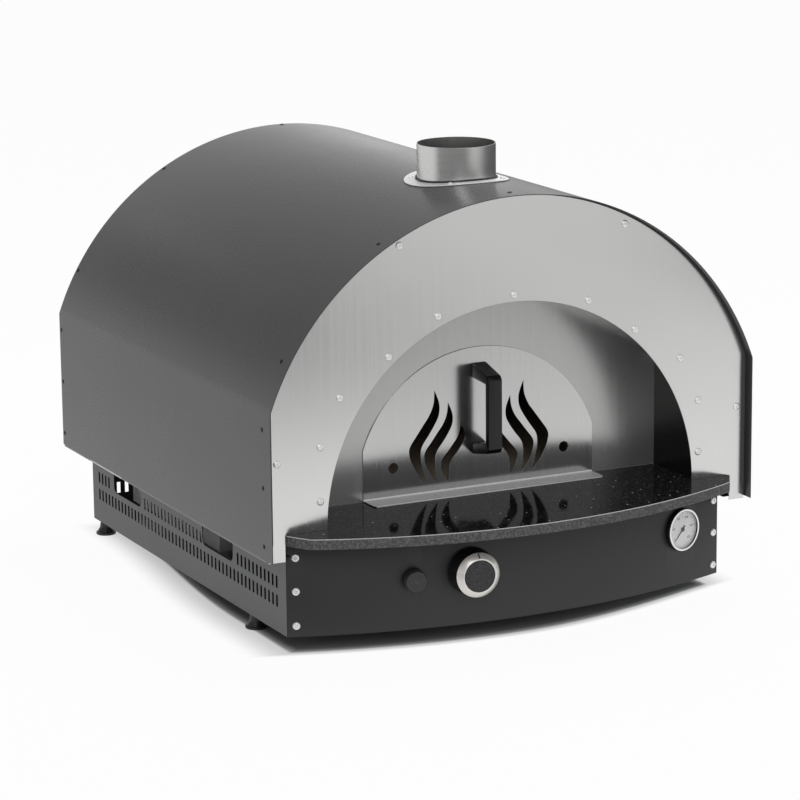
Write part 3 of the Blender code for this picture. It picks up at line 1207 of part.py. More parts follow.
def make_door(oven, steel, black):
    """Plug door with its folded foot and cut-outs, and the bow handle."""
    frame = empty("door_frame", oven, (DOOR_SHIFT, DOOR_FRONT, 0))
    foot = SHELF_TOP + GAP
    outline = arch(DOOR_HALF_WIDTH, foot, DOOR_SPRING, DOOR_CREST, VAULT_STEPS)
    door = piece("door_plate", prism(outline, 0, DOOR_SHEET, front_plane), steel, frame)
    narrow = DOOR_HALF_WIDTH - DOOR_FOOT_TAPER
    tongue = [(-narrow, -DOOR_FOOT), (narrow, -DOOR_FOOT), (DOOR_HALF_WIDTH, -DOOR_FOOT + DOOR_FOOT_TAPER)]
    tongue += [(DOOR_HALF_WIDTH, DOOR_SHEET / 2), (-DOOR_HALF_WIDTH, DOOR_SHEET / 2)]
    tongue += [(-DOOR_HALF_WIDTH, -DOOR_FOOT + DOOR_FOOT_TAPER)]
    combine(door, "UNION", prism(tongue, foot, foot + DOOR_SHEET, plan))
    through = (-OVERRUN, DOOR_SHEET + OVERRUN)
    cutters = []
    for side in (-1, 1):
        hole = rod(DOOR_HOLE_RADIUS, *through, SMALL_STEPS)
        cutters.append(along_y(hole, side * DOOR_HOLE_X, 0, SHELF_TOP + DOOR_HOLE_RISE))
        kinds = (FLAME_PLACE_SHARES, FLAME_HEIGHT_SHARES, FLAME_SWAY_SHARES, FLAME_BREADTH_SHARES)
        for place, height, sway, breadth in zip(*kinds):
            middle = side * place * DOOR_HALF_WIDTH
            tall = height * DOOR_HEIGHT
            outline = flame(side, middle, tall, sway, breadth, SHELF_TOP + FLAME_RISE)
            cutters.append(prism(outline, *through, front_plane))
    combine(door, "DIFFERENCE", joined(cutters))
    back = -GAP
    front = -HANDLE_REACH
    chamfer = HANDLE_CHAMFER
    outline = [(back, HANDLE_FOOT_LOW), (front + chamfer, HANDLE_FRONT_LOW - chamfer / 4)]
    outline += [(front, HANDLE_FRONT_LOW + chamfer), (front, HANDLE_FRONT_HIGH - chamfer)]
    outline += [(front + chamfer, HANDLE_FRONT_HIGH + chamfer / 4), (back, HANDLE_FOOT_HIGH)]
    outline += [(back, HANDLE_FOOT_HIGH - HANDLE_HIGH_ARM), (front + HANDLE_GRIP, HANDLE_INNER_HIGH)]
    outline += [(front + HANDLE_GRIP, HANDLE_INNER_LOW), (back, HANDLE_FOOT_LOW + HANDLE_LOW_ARM)]
    bar = prism(outline, -HANDLE_WIDTH / 2, HANDLE_WIDTH / 2, side_plane)
    handle = piece("door_handle", bar, black, frame)
    soften(handle, HANDLE_EDGE)


def make_feet(oven, black):
    """Levelling feet: a conical pad on a stud that screws into the base's weld nuts."""
    names = ("foot_front_left", "foot_front_right", "foot_rear_left", "foot_rear_right")
    places = [(x, y) for y in FOOT_PLACES for x in (-FOOT_X, FOOT_X)]
    top = FOOT_HEIGHT - GAP
    for name, (x, y) in zip(names, places):
        profile = [(0, 0), (FOOT_RADIUS, 0), (FOOT_RADIUS, FOOT_RIM), (FOOT_WAIST_RADIUS, FOOT_WAIST_RISE)]
        profile += [(FOOT_TOP_RADIUS, top), (STUD_RADIUS, top), (STUD_RADIUS, top + STUD_LENGTH)]
        profile += [(0, top + STUD_LENGTH)]
        foot = turned(profile, SMALL_STEPS)
        piece(name, foot, black, oven, (x, y, -BASE_HEIGHT - FOOT_HEIGHT))


def build():
    clear_scene()
    middle = (SHELF_FRONT + SHELL_DEPTH) / 2
    oven = empty("oven", location=(0, -middle, BASE_HEIGHT + FOOT_HEIGHT))
    shell_paint = material("shell_paint", (0.110, 0.113, 0.117), 0.38, 0.0)
    panel_paint = material("panel_paint", (0.075, 0.077, 0.080), 0.42, 0.0)
    base_paint = material("base_paint", (0.120, 0.123, 0.127), 0.45, 0.0)
    brushed = material("brushed_stainless", (0.640, 0.640, 0.630), 0.32, 1.0)
    zinc = material("galvanised_sheet", (0.520, 0.530, 0.540), 0.45, 1.0)
    chrome = material("chrome", (0.780, 0.780, 0.780), 0.08, 1.0)
    brass = material("brass", (0.700, 0.520, 0.240), 0.30, 1.0)
    copper = material("copper_tube", (0.720, 0.430, 0.300), 0.30, 1.0)
    granite = material("granite", (0.022, 0.022, 0.024), 0.10, 0.0)
    black = material("black_plastic", (0.012, 0.012, 0.012), 0.22, 0.0)
    rubber = material("lead_sleeve", (0.180, 0.020, 0.015), 0.60, 0.0)
    stone = material("hearth_stone", (0.560, 0.480, 0.370), 0.85, 0.0)
    board = material("insulating_board", (0.720, 0.690, 0.620), 0.90, 0.0)
    fibre = material("fibre_blanket", (0.860, 0.860, 0.840), 0.95, 0.0)
    ceramic = material("ceramic", (0.850, 0.840, 0.800), 0.35, 0.0)
    white = material("dial_face", (0.880, 0.880, 0.870), 0.50, 0.0)
    glass = material("dial_glass", (0.920, 0.940, 0.940), 0.03, 0.0)
    needle_paint = material("needle_paint", (0.020, 0.020, 0.020), 0.40, 0.0)
    make_shell(oven, shell_paint)
    make_face_plate(oven, brushed)
    make_front_frame(oven, base_paint)
    make_rear_panel(oven, base_paint)
    make_deck(oven, zinc)
    make_rails(oven, zinc)
    make_base_sides(oven, base_paint)
    make_base_rear(oven, base_paint)
    make_base_floor(oven, zinc)
    make_control_panel(oven, panel_paint)
    make_shelf(oven, granite, zinc)
    make_hood(oven, brushed)
    make_hearth(oven, zinc, board, stone)
    make_vault(oven, brushed, fibre)
    make_burner(oven, brushed, brass, ceramic)
    make_gas_line(oven, brass, copper, rubber)
    make_knob(oven, black, chrome, brass, brushed)
    make_igniter(oven, black, zinc)
    make_thermometer(oven, brushed, white, glass, needle_paint, copper)
    make_flue(oven, brushed)
    make_door(oven, brushed, black)
    make_feet(oven, black)


build()
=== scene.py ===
"""Looks of a countertop gas pizza oven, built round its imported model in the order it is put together.

Lengths are metres in the oven's own frame: x to the right, y back from the casing's front lip, z up
from the casing's bottom edge. STAND carries them to where the oven stands on its feet.
"""
from math import asin, atan2, cos, pi, radians, sin, sqrt

import bmesh
import bpy
from mathutils import Matrix, Vector


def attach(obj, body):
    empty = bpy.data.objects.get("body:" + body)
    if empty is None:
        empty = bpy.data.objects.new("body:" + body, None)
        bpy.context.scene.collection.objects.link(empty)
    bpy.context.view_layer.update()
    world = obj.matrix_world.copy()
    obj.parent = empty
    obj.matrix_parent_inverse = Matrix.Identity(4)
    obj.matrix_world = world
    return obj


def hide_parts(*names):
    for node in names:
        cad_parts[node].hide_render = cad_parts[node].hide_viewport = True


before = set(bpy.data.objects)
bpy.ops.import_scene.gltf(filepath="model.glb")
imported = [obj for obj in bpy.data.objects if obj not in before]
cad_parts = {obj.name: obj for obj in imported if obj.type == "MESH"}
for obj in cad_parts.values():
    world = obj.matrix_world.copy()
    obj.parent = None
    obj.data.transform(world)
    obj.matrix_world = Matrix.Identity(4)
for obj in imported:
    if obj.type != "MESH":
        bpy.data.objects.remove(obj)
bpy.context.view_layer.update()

# Camera: a long lens on a stand to the left of the oven's front, a little above its crest. It is
# placed in the row frame, whose origin is on the floor under the oven's middle.
EYE = Vector((-2.8307, -5.7222, 1.7927))
YAW, PITCH, ROLL = 0.457, 0.2241, -0.0104
FOCAL_LENGTH, FILM_WIDTH = 150.78, 36


def linked(name, data):
    """New object in the scene."""
    made = bpy.data.objects.new(name, data)
    bpy.context.scene.collection.objects.link(made)
    return made


sight = Vector((sin(YAW) * cos(PITCH), cos(YAW) * cos(PITCH), -sin(PITCH)))
level = Vector((cos(YAW), -sin(YAW), 0))
upright = level.cross(sight)
across = level * cos(ROLL) + upright * sin(ROLL)
above = upright * cos(ROLL) - level * sin(ROLL)
lens = bpy.data.cameras.new("camera")
lens.lens, lens.sensor_width = FOCAL_LENGTH, FILM_WIDTH
camera = linked("camera", lens)
camera.matrix_world = Matrix.Translation(EYE) @ Matrix((across, above, -sight)).transposed().to_4x4()
bpy.context.scene.camera = camera
bpy.context.scene.view_settings.view_transform = "Standard"


# Studio floor: matt white paper that fades into a white backdrop and keeps the oven's soft shadow.
# Where polished steel mirrors it, it is dark far out to the front, the right and the left, as a
# studio is beyond its lamps.
class Term:
    """A value in a material or a recipe: Python arithmetic on it adds the nodes."""

    def __init__(self, board, socket):
        self.board = board
        self.socket = socket

    def math(self, operation, second=0.0, third=0.0):
        return self.board.term("ShaderNodeMath", {0: self, 1: second, 2: third}, operation=operation)

    def __add__(self, other):
        return self.math("ADD", other)

    def __sub__(self, other):
        return self.math("SUBTRACT", other)

    def __rsub__(self, other):
        return self.math("MULTIPLY_ADD", -1.0, other)

    def __neg__(self):
        return self.math("MULTIPLY", -1.0)

    def __mul__(self, other):
        return self.math("MULTIPLY", other)

    def __gt__(self, other):
        return self.math("GREATER_THAN", other)

    __radd__ = __add__
    __rmul__ = __mul__

    def smooth(self, low, high):
        """Soft step from 0 at low to 1 at high."""
        values = {0: self, 1: low, 2: high, 3: 0.0, 4: 1.0}
        return self.board.term("ShaderNodeMapRange", values, interpolation_type="SMOOTHSTEP")


def opaque(colour):
    """Colour with its alpha. One number stands for a grey."""
    if isinstance(colour, float):
        colour = (colour, colour, colour)
    return (*colour, 1) if isinstance(colour, tuple) else colour


class Board:
    """A node tree: every node comes from one method, with its values first and its settings last."""

    def __init__(self, tree):
        self.tree = tree

    def node(self, kind, values=None, **settings):
        made = self.tree.nodes.new(kind)
        for name, setting in settings.items():
            setattr(made, name, setting)
        for key, value in (values or {}).items():
            target = made.inputs[key]
            if isinstance(value, Term):
                self.tree.links.new(value.socket, target)
            else:
                target.default_value = value
        return made

    def term(self, kind, values=None, output=0, **settings):
        return Term(self, self.node(kind, values, **settings).outputs[output])

    def mix(self, share, first, second):
        """Colour between two colours."""
        values = {0: share, 6: opaque(first), 7: opaque(second)}
        return self.term("ShaderNodeMix", values, 2, data_type="RGBA")

    def part(self, vector, axis):
        """One number of a vector."""
        return self.term("ShaderNodeSeparateXYZ", {0: vector}, "xyz".index(axis))

    def ray(self, kind):
        """1 for light rays of one kind, 0 for the others."""
        return self.term("ShaderNodeLightPath", output=f"Is {kind} Ray")


class Finish(Board):
    """Material of one kind of piece. Constants are set on the shader's own sockets."""

    def __init__(self, name, colour, roughness, metallic=0.0, **constants):
        self.material = bpy.data.materials.new(name)
        self.material.use_nodes = True
        super().__init__(self.material.node_tree)
        self.shader = self.tree.nodes["Principled BSDF"]
        constants.update(Base_Color=opaque(colour), Roughness=roughness, Metallic=metallic)
        for socket, value in constants.items():
            self.shader.inputs[socket.replace("_", " ")].default_value = value

    def place(self, stretch=(1, 1, 1)):
        """Place on the object, in metres, with each axis stretched."""
        where = self.term("ShaderNodeTexCoord", output="Object")
        return self.term("ShaderNodeMapping", {"Vector": where, "Scale": stretch})

    def along(self, axis):
        """Place along one axis of the row frame."""
        return self.part(self.place(), axis)

    def facing(self, way):
        """1 where the surface faces a given way, 0 where it lies along it."""
        values = {0: self.term("ShaderNodeNewGeometry", output="Normal"), 1: way}
        return self.term("ShaderNodeVectorMath", values, "Value", operation="DOT_PRODUCT")

    def noise(self, scale, stretch=(1, 1, 1), detail=2.0, roughness=0.5):
        values = {"Vector": self.place(stretch), "Scale": scale, "Detail": detail, "Roughness": roughness}
        return self.term("ShaderNodeTexNoise", values)

    def cells(self, scale, output="Distance"):
        values = {"Vector": self.place(), "Scale": scale}
        return self.term("ShaderNodeTexVoronoi", values, output)

    def chance(self, scale):
        """Random number of each cell."""
        return self.term("ShaderNodeSeparateColor", {0: self.cells(scale, "Color")})

    def scaled(self, colour, lift):
        """Colour made lighter or darker."""
        return self.term("ShaderNodeVectorMath", {0: colour, "Scale": lift}, operation="SCALE")

    def feed(self, socket, value):
        self.tree.links.new(value.socket, self.shader.inputs[socket])

    def tint(self, share, first, second):
        self.feed("Base Color", self.mix(share, first, second))

    def wear(self, low, spread, scale, detail=2.0):
        """Roughness that varies a little over the surface."""
        self.feed("Roughness", low + spread * self.noise(scale, detail=detail))

    def relief(self, height, depth, strength=1.0):
        """Fine relief of a given depth."""
        values = {"Height": height, "Distance": depth, "Strength": strength}
        self.feed("Normal", self.term("ShaderNodeBump", values))


def as_mesh(name, bm):
    """Mesh of a finished shape."""
    mesh = bpy.data.meshes.new(name)
    bm.to_mesh(mesh)
    bm.free()
    return mesh


FLOOR_REACH = 60.0
UNDER_HALF_WIDTH, UNDER_REAR = 0.453, 0.545
UNDER_FRONT, UNDER_BOW = -0.500, 0.396
grid = bmesh.new()
bmesh.ops.create_grid(grid, x_segments=8, y_segments=8, size=FLOOR_REACH)
studio_floor = linked("studio_floor", as_mesh("studio_floor", grid))
paper = Finish("white_paper", 0.86, 0.9)
aside, behind = paper.along("x"), paper.along("y")
ahead = -behind
# Distances past the oven's sides, front and rear, which are negative under the oven
beside = aside.math("ABSOLUTE") - UNDER_HALF_WIDTH + 0.05 * behind.smooth(-0.15, 0.50)
before = UNDER_FRONT + UNDER_BOW * aside * aside - behind + 0.030 * aside.smooth(0.0, 0.44)
past = beside.math("MAXIMUM", before.math("MAXIMUM", behind - UNDER_REAR))
# Painted contact shadow: the paper is painted dark under the oven, less far in at the rear and at the panel's
# right end
paper.tint(past.smooth(-0.03, 0.0), 0.20, 0.86)
# What mirrors see of the floor: its dark patches at the far front, the right and the left
far_front = ahead.smooth(1.3, 3.4) * (0.80 - 0.62 * aside.smooth(0.2, 1.8))
dark_right = 0.90 * aside.smooth(1.95, 2.5) * (1 - ahead.smooth(3.0, 4.2))
left_edge = (-aside - 0.28 * ahead).smooth(-0.1, 0.4) * ahead.smooth(0.4, 1.0)
dark_left = (0.85 - 0.45 * ahead.smooth(1.8, 2.8)) * left_edge
unlit = (far_front + dark_right).math("MAXIMUM", dark_left)
mirrored = paper.ray("Glossy")
white_glow = paper.term("ShaderNodeEmission", {0: (1, 1, 1, 1), 1: 1 - mirrored * unlit})
# The glow is held back under the oven so its shadow shows, and reaches in at the rear and the right end as
# painted light
clear_floor = past.smooth(0.0, 0.08).math("MAXIMUM", before.smooth(0.0, 0.02))
glow_share = paper.ray("Camera").math("MAXIMUM", mirrored)
glow_share = glow_share * (0.45 * past.smooth(-0.010, 0.0) + 0.51 * clear_floor)
matt = Term(paper, paper.shader.outputs[0])
blend = paper.term("ShaderNodeMixShader", {0: glow_share, 1: matt, 2: white_glow})
paper.tree.links.new(blend.socket, paper.tree.nodes["Material Output"].inputs["Surface"])
studio_floor.data.materials.append(paper.material)

# Studio light: a broad lamp overhead, a softer one at the front left, and a low white card behind
# the oven for the casing's crest. The walls are white to the camera and light all sides evenly, and
# what polished metal mirrors of them is darker towards the ceiling.
PLAIN_WALL = 0.45
world = bpy.data.worlds.new("studio_walls")
world.use_nodes = True
bpy.context.scene.world = world
walls = Board(world.node_tree)
backdrop = world.node_tree.nodes["Background"]
view = walls.term("ShaderNodeTexCoord", output="Generated")
west, rise = -walls.part(view, "x"), walls.part(view, "z")
soft_wall = 1.0 - (0.46 + 0.12 * west.smooth(0.0, 0.22)) * rise.smooth(0.08, 0.22)
eye_ray = walls.ray("Camera")
mirror_ray = walls.ray("Glossy").math("MAXIMUM", walls.ray("Transmission"))
brightness = eye_ray + (1 - eye_ray) * (mirror_ray * soft_wall + (1 - mirror_ray) * PLAIN_WALL)
backdrop.inputs["Color"].default_value = (1, 1, 1, 1)
world.node_tree.links.new(brightness.socket, backdrop.inputs["Strength"])


def lamp(name, place, target, power, width, height=None):
    """Soft lamp that points at a target, square unless its height is given."""
    light = bpy.data.lights.new(name, "AREA")
    light.shape = "RECTANGLE"
    light.size, light.size_y = width, height or width
    light.energy = power
    made = linked(name, light)
    made.location = place
    made.rotation_euler = (Vector(target) - Vector(place)).to_track_quat("-Z", "Y").to_euler()


lamp("overhead_lamp", (1.3, 0.9, 4.2), (0, 0, 0.4), 80, 2.6)
lamp("rear_card", (0.35, 2.4, 0.93), (0.35, 0, 0.93), 3.2, 2.4, 1.3)
lamp("front_lamp", (-1.6, -4.2, 3.0), (0, -0.3, 0.4), 40, 2.2)

# Base sides: zinc-coated sheet, folded in at all four edges, punched with two rows of cooling slots
# and two hand-holds, then painted dark grey. The cut edges inside the slots are painted near-black as painted
# shade.
STAND_BACK, STAND_UP = -0.4616, 0.1832
STAND = Matrix.Translation((0, STAND_BACK, STAND_UP))
GAP = 0.0003
SHEET = 0.0015
BASE_HALF_WIDTH, BASE_HEIGHT, BASE_REAR = 0.453, 0.1532, 1.007
BASE_FLANGE, BASE_RETURN = 0.022, 0.032
PANEL_FRONT, PANEL_SAGITTA = -0.0385, 0.084
PANEL_RADIUS = (BASE_HALF_WIDTH ** 2 + PANEL_SAGITTA ** 2) / (2 * PANEL_SAGITTA)
SLOT_ROWS, SLOT_START, SLOT_PITCH, SLOT_ROUND = (-0.0950, -0.0595), 0.970, 0.01761, 0.0022
WINDOWS, WINDOW_MIDDLE, WINDOW_ROUND = (0.3610, 0.8167), -0.042, 0.013


def panel_y(x):
    """Front face of the bowed panel at a place across it."""
    return PANEL_FRONT + PANEL_RADIUS - sqrt(PANEL_RADIUS ** 2 - x ** 2)


def plain_mesh(made):
    """Shape of an object with its modifiers applied. The object itself goes."""
    mesh = bpy.data.meshes.new_from_object(made.evaluated_get(bpy.context.evaluated_depsgraph_get()))
    bpy.data.objects.remove(made)
    return mesh


class Recipe(Board):
    """A Geometry Nodes tree with named sizes, made into a plain mesh by its modifier."""

    def __init__(self, name):
        super().__init__(bpy.data.node_groups.new(name, "GeometryNodeTree"))
        for way in ("INPUT", "OUTPUT"):
            self.tree.interface.new_socket("Geometry", in_out=way, socket_type="NodeSocketGeometry")
        self.entry = self.tree.nodes.new("NodeGroupInput")
        self.sockets = {}

    def size(self, name, kind="Float"):
        item = self.tree.interface.new_socket(name, in_out="INPUT", socket_type=f"NodeSocket{kind}")
        self.sockets[name] = item.identifier
        return Term(self, self.entry.outputs[name])

    def point(self, x, y=0.0, z=0.0):
        return self.term("ShaderNodeCombineXYZ", {0: x, 1: y, 2: z})

    def rounded(self, width, height, radius):
        """Closed outline with round corners."""
        plain = self.term("GeometryNodeCurvePrimitiveQuadrilateral", {0: width, 1: height})
        values = {"Curve": plain, "Radius": radius, "Limit Radius": True, "Count": 3}
        return self.term("GeometryNodeFilletCurve", values, mode="POLY")

    def shifted(self, geometry, place):
        return self.term("GeometryNodeTransform", {"Geometry": geometry, "Translation": place})

    def joined(self, pieces):
        every = self.node("GeometryNodeJoinGeometry")
        for piece in pieces:
            self.tree.links.new(piece.socket, every.inputs[0])
        return Term(self, every.outputs[0])

    def end(self, geometry, material):
        real = self.term("GeometryNodeRealizeInstances", {0: geometry})
        coated = self.term("GeometryNodeSetMaterial", {0: real, 2: material})
        self.tree.links.new(coated.socket, self.tree.nodes.new("NodeGroupOutput").inputs[0])

    def make(self, name, seed_mesh, **sizes):
        """Runs the recipe on a seed mesh and returns the result as a mesh of its own."""
        seed = linked(name, seed_mesh)
        step = seed.modifiers.new("recipe", "NODES")
        step.node_group = self.tree
        for key, value in sizes.items():
            step[self.sockets[key]] = value
        return plain_mesh(seed)


def outward(bm):
    """Shape with all its faces pointing out."""
    bmesh.ops.recalc_face_normals(bm, faces=bm.faces)
    return bm


def settle(name, shape, finish, replaced=None, body="casing", bend=30):
    """Stands a finished shape where the oven stands, smooth where it is round, and lets it ride."""
    if isinstance(shape, bmesh.types.BMesh):
        bmesh.ops.remove_doubles(shape, verts=shape.verts, dist=0.00001)
        shape = as_mesh(name, outward(shape))
    shape.name = name
    shape.transform(STAND)
    if finish:
        shape.materials.clear()
        shape.materials.append(finish.material)
    shape.shade_smooth()
    shape.set_sharp_from_angle(angle=radians(bend))
    made = linked(name, shape)
    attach(made, body)
    if replaced:
        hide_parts(replaced)


def ring(bm, points, along, axis):
    """Points of an outline in a shape, at a place along x, y or z."""
    place = "xyz".index(axis)
    return [bm.verts.new((*point[:place], along, *point[place:])) for point in points]


def skin(bm, rings, capped=True):
    """Faces from each ring of points to the next, and over both ends."""
    for near, far in zip(rings, rings[1:]):
        for i in range(len(near)):
            j = (i + 1) % len(near)
            bm.faces.new((near[i], near[j], far[j], far[i]))
    if capped:
        bm.faces.new(rings[0])
        bm.faces.new(rings[-1])
    return bm


def prism(outline, start, end, axis):
    """Closed outline carried along an axis: its two numbers are the other two axes in order."""
    bm = bmesh.new()
    return skin(bm, [ring(bm, outline, along, axis) for along in (start, end)])


def block(x, y, z):
    return prism([(x[0], y[0]), (x[1], y[0]), (x[1], y[1]), (x[0], y[1])], *z, "z")


def together(*shapes):
    """Several shapes in one."""
    total = bmesh.new()
    for shape in shapes:
        if isinstance(shape, bmesh.types.BMesh):
            shape = as_mesh("part", outward(shape))
        total.from_mesh(shape)
        bpy.data.meshes.remove(shape)
    return total


def painted(name, tone, roughness, grain=1.0):
    """Powder coat: orange-peel relief, faint mottling and dust."""
    coat = Finish(name, tone, roughness)
    cloud = coat.noise(3.5, detail=4.0)
    dust = coat.noise(260)
    lift = 1 + (cloud - 0.5) * 0.22 + (dust - 0.5) * 0.12
    coat.colour = coat.scaled((tone * 0.97, tone * 0.99, tone * 1.03), lift)
    coat.feed("Base Color", coat.colour)
    coat.feed("Roughness", roughness + (cloud - 0.5) * 0.10 + (dust - 0.5) * 0.06)
    coat.relief(coat.noise(900, detail=1.0), 0.00012 * grain, 0.35)
    return coat


base_paint = painted("base_grey_paint", 0.085, 0.46)
side_paint = painted("side_grey_paint", 0.085, 0.46)
# Painted shade: faces inside the slots, across the wall's thickness, are painted near-black
edgewise = 1 - side_paint.facing((1, 0, 0)).math("ABSOLUTE").smooth(0.3, 0.6)
in_wall = side_paint.along("x").math("ABSOLUTE") > BASE_HALF_WIDTH - SHEET
side_paint.tint(edgewise * in_wall, side_paint.colour, 0.008)

slotted = Recipe("slotted_wall")
wall = {name: slotted.size(name) for name in (
    "Length", "Height", "Pitch", "First slot", "Slot width", "Slot height", "Low row", "High row",
    "First window", "Second window", "Window length", "Window height", "Window middle",
    "Outer land", "Inner land", "Sheet",
)}
slot_count = slotted.size("Slots", "Int")
across_wall = slotted.part(slotted.term("GeometryNodeInputPosition"), "x")
half_break = (wall["Window length"] + wall["Slot width"]) * 0.5
left_out = 0.0
for window, way_out in (("First window", -1), ("Second window", 1)):
    from_middle = (across_wall - wall[window]) * way_out
    near_enough = half_break + wall["Outer land"] > from_middle
    left_out = near_enough * (from_middle > -half_break - wall["Inner land"]) + left_out
outlines = []
slot_outline = slotted.rounded(wall["Slot width"], wall["Slot height"], SLOT_ROUND)
for row in ("Low row", "High row"):
    values = {"Count": slot_count, "Start Location": slotted.point(wall["First slot"], wall[row])}
    values["Offset"] = slotted.point(wall["Pitch"])
    points = slotted.term("GeometryNodeMeshLine", values)
    if row == "High row":
        points = slotted.term("GeometryNodeDeleteGeometry", {0: points, 1: left_out}, domain="POINT")
    values = {"Points": points, "Instance": slot_outline}
    outlines.append(slotted.term("GeometryNodeInstanceOnPoints", values))
for window in ("First window", "Second window"):
    opening = slotted.rounded(wall["Window length"], wall["Window height"], WINDOW_ROUND)
    outlines.append(slotted.shifted(opening, slotted.point(wall[window], wall["Window middle"])))
values = {0: wall["Length"], 1: wall["Height"]}
outer = slotted.term("GeometryNodeCurvePrimitiveQuadrilateral", values)
outlines.append(slotted.shifted(outer, slotted.point(wall["Length"] * 0.5, wall["Height"] * -0.5)))
real_curves = slotted.term("GeometryNodeRealizeInstances", {0: slotted.joined(outlines)})
flat = slotted.term("GeometryNodeFillCurve", {0: real_curves}, mode="TRIANGLES")
values = {"Mesh": flat, "Offset Scale": wall["Sheet"], "Individual": False}
thick = slotted.term("GeometryNodeExtrudeMesh", values)
under = slotted.term("GeometryNodeFlipFaces", {0: flat})
slotted.end(slotted.joined((thick, under)), base_paint.material)

corner_y = panel_y(BASE_HALF_WIDTH) + (SHEET + GAP) / cos(asin(BASE_HALF_WIDTH / PANEL_RADIUS))
lean = panel_y(BASE_HALF_WIDTH) - panel_y(BASE_HALF_WIDTH - BASE_RETURN)
for side, sign in (("left", -1), ("right", 1)):
    sheet = slotted.make(f"slotted_{side}", bpy.data.meshes.new("seed"), **{
        "Length": BASE_REAR - corner_y, "Height": BASE_HEIGHT + SHEET, "Sheet": SHEET,
        "Slots": 51, "First slot": SLOT_START - corner_y, "Pitch": -SLOT_PITCH,
        "Slot width": 0.008, "Slot height": 0.023,
        "Low row": SLOT_ROWS[0] - SHEET, "High row": SLOT_ROWS[1] - SHEET,
        "First window": WINDOWS[0] - corner_y, "Second window": WINDOWS[1] - corner_y,
        "Window length": 0.145, "Window height": 0.060, "Window middle": WINDOW_MIDDLE - SHEET,
        "Outer land": 0.012, "Inner land": 0.003,
    })
    turn = Matrix(((0, 0, sign, 0), (1, 0, 0, 0), (0, 1, 0, 0), (0, 0, 0, 1)))
    depths = (SHEET, BASE_FLANGE, BASE_RETURN)
    outer_x, flange_x, return_x = (sign * (BASE_HALF_WIDTH - depth) for depth in depths)
    sheet.transform(Matrix.Translation((outer_x, corner_y, SHEET)) @ turn)
    if sign < 0:
        sheet.flip_normals()
    front_return = prism([
        (outer_x, corner_y), (outer_x, corner_y + SHEET),
        (return_x, corner_y + SHEET - lean), (return_x, corner_y - lean),
    ], -BASE_HEIGHT, SHEET, "z")
    rear_return = block((outer_x, return_x), (BASE_REAR - SHEET, BASE_REAR), (-BASE_HEIGHT, SHEET))
    run = (corner_y + SHEET, BASE_REAR - SHEET)
    low_flange = block((outer_x, flange_x), run, (-BASE_HEIGHT, -BASE_HEIGHT + SHEET))
    high_flange = block((outer_x, flange_x), run, (0, SHEET))
    shape = as_mesh(f"slotted_{side}", together(sheet, front_return, rear_return, low_flange, high_flange))
    settle(f"slotted_{side}", shape, side_paint, f"base_side_{side}")

# Casing: one painted sheet, rolled over the vault, with upright sides and turned-in feet. The
# flue's hole is cut before painting. Black low-headed screws hold the sheet to its frames, and a
# thin zinc strip runs under its bottom edges, with a painted highlight over the rear hand-holds.
SHELL_HALF_WIDTH, SHELL_DEPTH = 0.500, 1.047
SHELL_SPRING, SHELL_CREST = 0.2736, 0.6253
SHELL_FOOT = 0.030
SHELL_INNER = SHELL_HALF_WIDTH - SHEET - GAP
FACE_INSET = 0.0218
FRAME_FRONT = FACE_INSET + SHEET + GAP
FRAME_DEPTH, FRAME_WEB = 0.030, 0.035
FLUE_CENTRE, FLUE_RADIUS = 0.248, 0.074
FLUE = Matrix.Translation((0, FLUE_CENTRE, 0))
EDGE = 0.0004
ON_DECK = 0.0041


def arc(centre, radius, start, end, steps):
    turns = [start + (end - start) * i / steps for i in range(steps + 1)]
    return [(centre[0] + radius * cos(a), centre[1] + radius * sin(a)) for a in turns]


def arch(half_width, foot, spring, crest, steps=96):
    """Open path of an arch on upright sides, from the right foot over to the left."""
    rise = crest - spring
    radius = (half_width ** 2 + rise ** 2) / (2 * rise)
    start = atan2(spring - crest + radius, half_width)
    vault = arc((0, crest - radius), radius, start, pi - start, steps)
    return [(half_width, foot), *vault, (-half_width, foot)]


def inset(path, distance):
    """Open path moved to its left, with mitred corners."""
    points = [Vector(p) for p in path]
    runs = [(b - a).normalized() for a, b in zip(points, points[1:])]
    normals = [Vector((-run.y, run.x)) for run in runs]
    moved_path = []
    for i, point in enumerate(points):
        before, after = normals[max(i - 1, 0)], normals[min(i, len(normals) - 1)]
        moved_path.append(tuple(point + (before + after) / (1 + before.dot(after)) * distance))
    return moved_path


def folded(path, section, axis="y"):
    """Sheet of a given section, of offset and place along, carried down an open path."""
    bm = bmesh.new()
    lines = [ring(bm, inset(path, offset), along, axis) for offset, along in section]
    return skin(bm, list(zip(*lines)))


def turned(profile, steps=96, place=Matrix()):
    """Profile of radius and height turned round z: solid if it starts on the axis, else a ring."""
    bm = bmesh.new()
    verts = [bm.verts.new((radius, 0, height)) for radius, height in profile]
    edges = [bm.edges.new(pair) for pair in zip(verts, verts[1:])]
    if profile[0][0] > 0:
        edges.append(bm.edges.new((verts[-1], verts[0])))
    bmesh.ops.spin(bm, geom=verts + edges, axis=(0, 0, 1), cent=(0, 0, 0), angle=2 * pi, steps=steps)
    bmesh.ops.remove_doubles(bm, verts=bm.verts, dist=0.00001)
    return moved(outward(bm), place)


def moved(bm, matrix):
    bm.transform(matrix)
    return bm


def carved(shape, *tools):
    """Shape with other closed shapes cut out of it."""
    solids = []
    for bm in (shape, *tools):
        bmesh.ops.remove_doubles(bm, verts=bm.verts, dist=0.000001)
        solids.append(linked("carving", as_mesh("carving", outward(bm))))
    for tool in solids[1:]:
        step = solids[0].modifiers.new("cut", "BOOLEAN")
        step.object, step.operation, step.solver = tool, "DIFFERENCE", "EXACT"
    result = plain_mesh(solids[0])
    for tool in solids[1:]:
        bpy.data.objects.remove(tool)
    return result


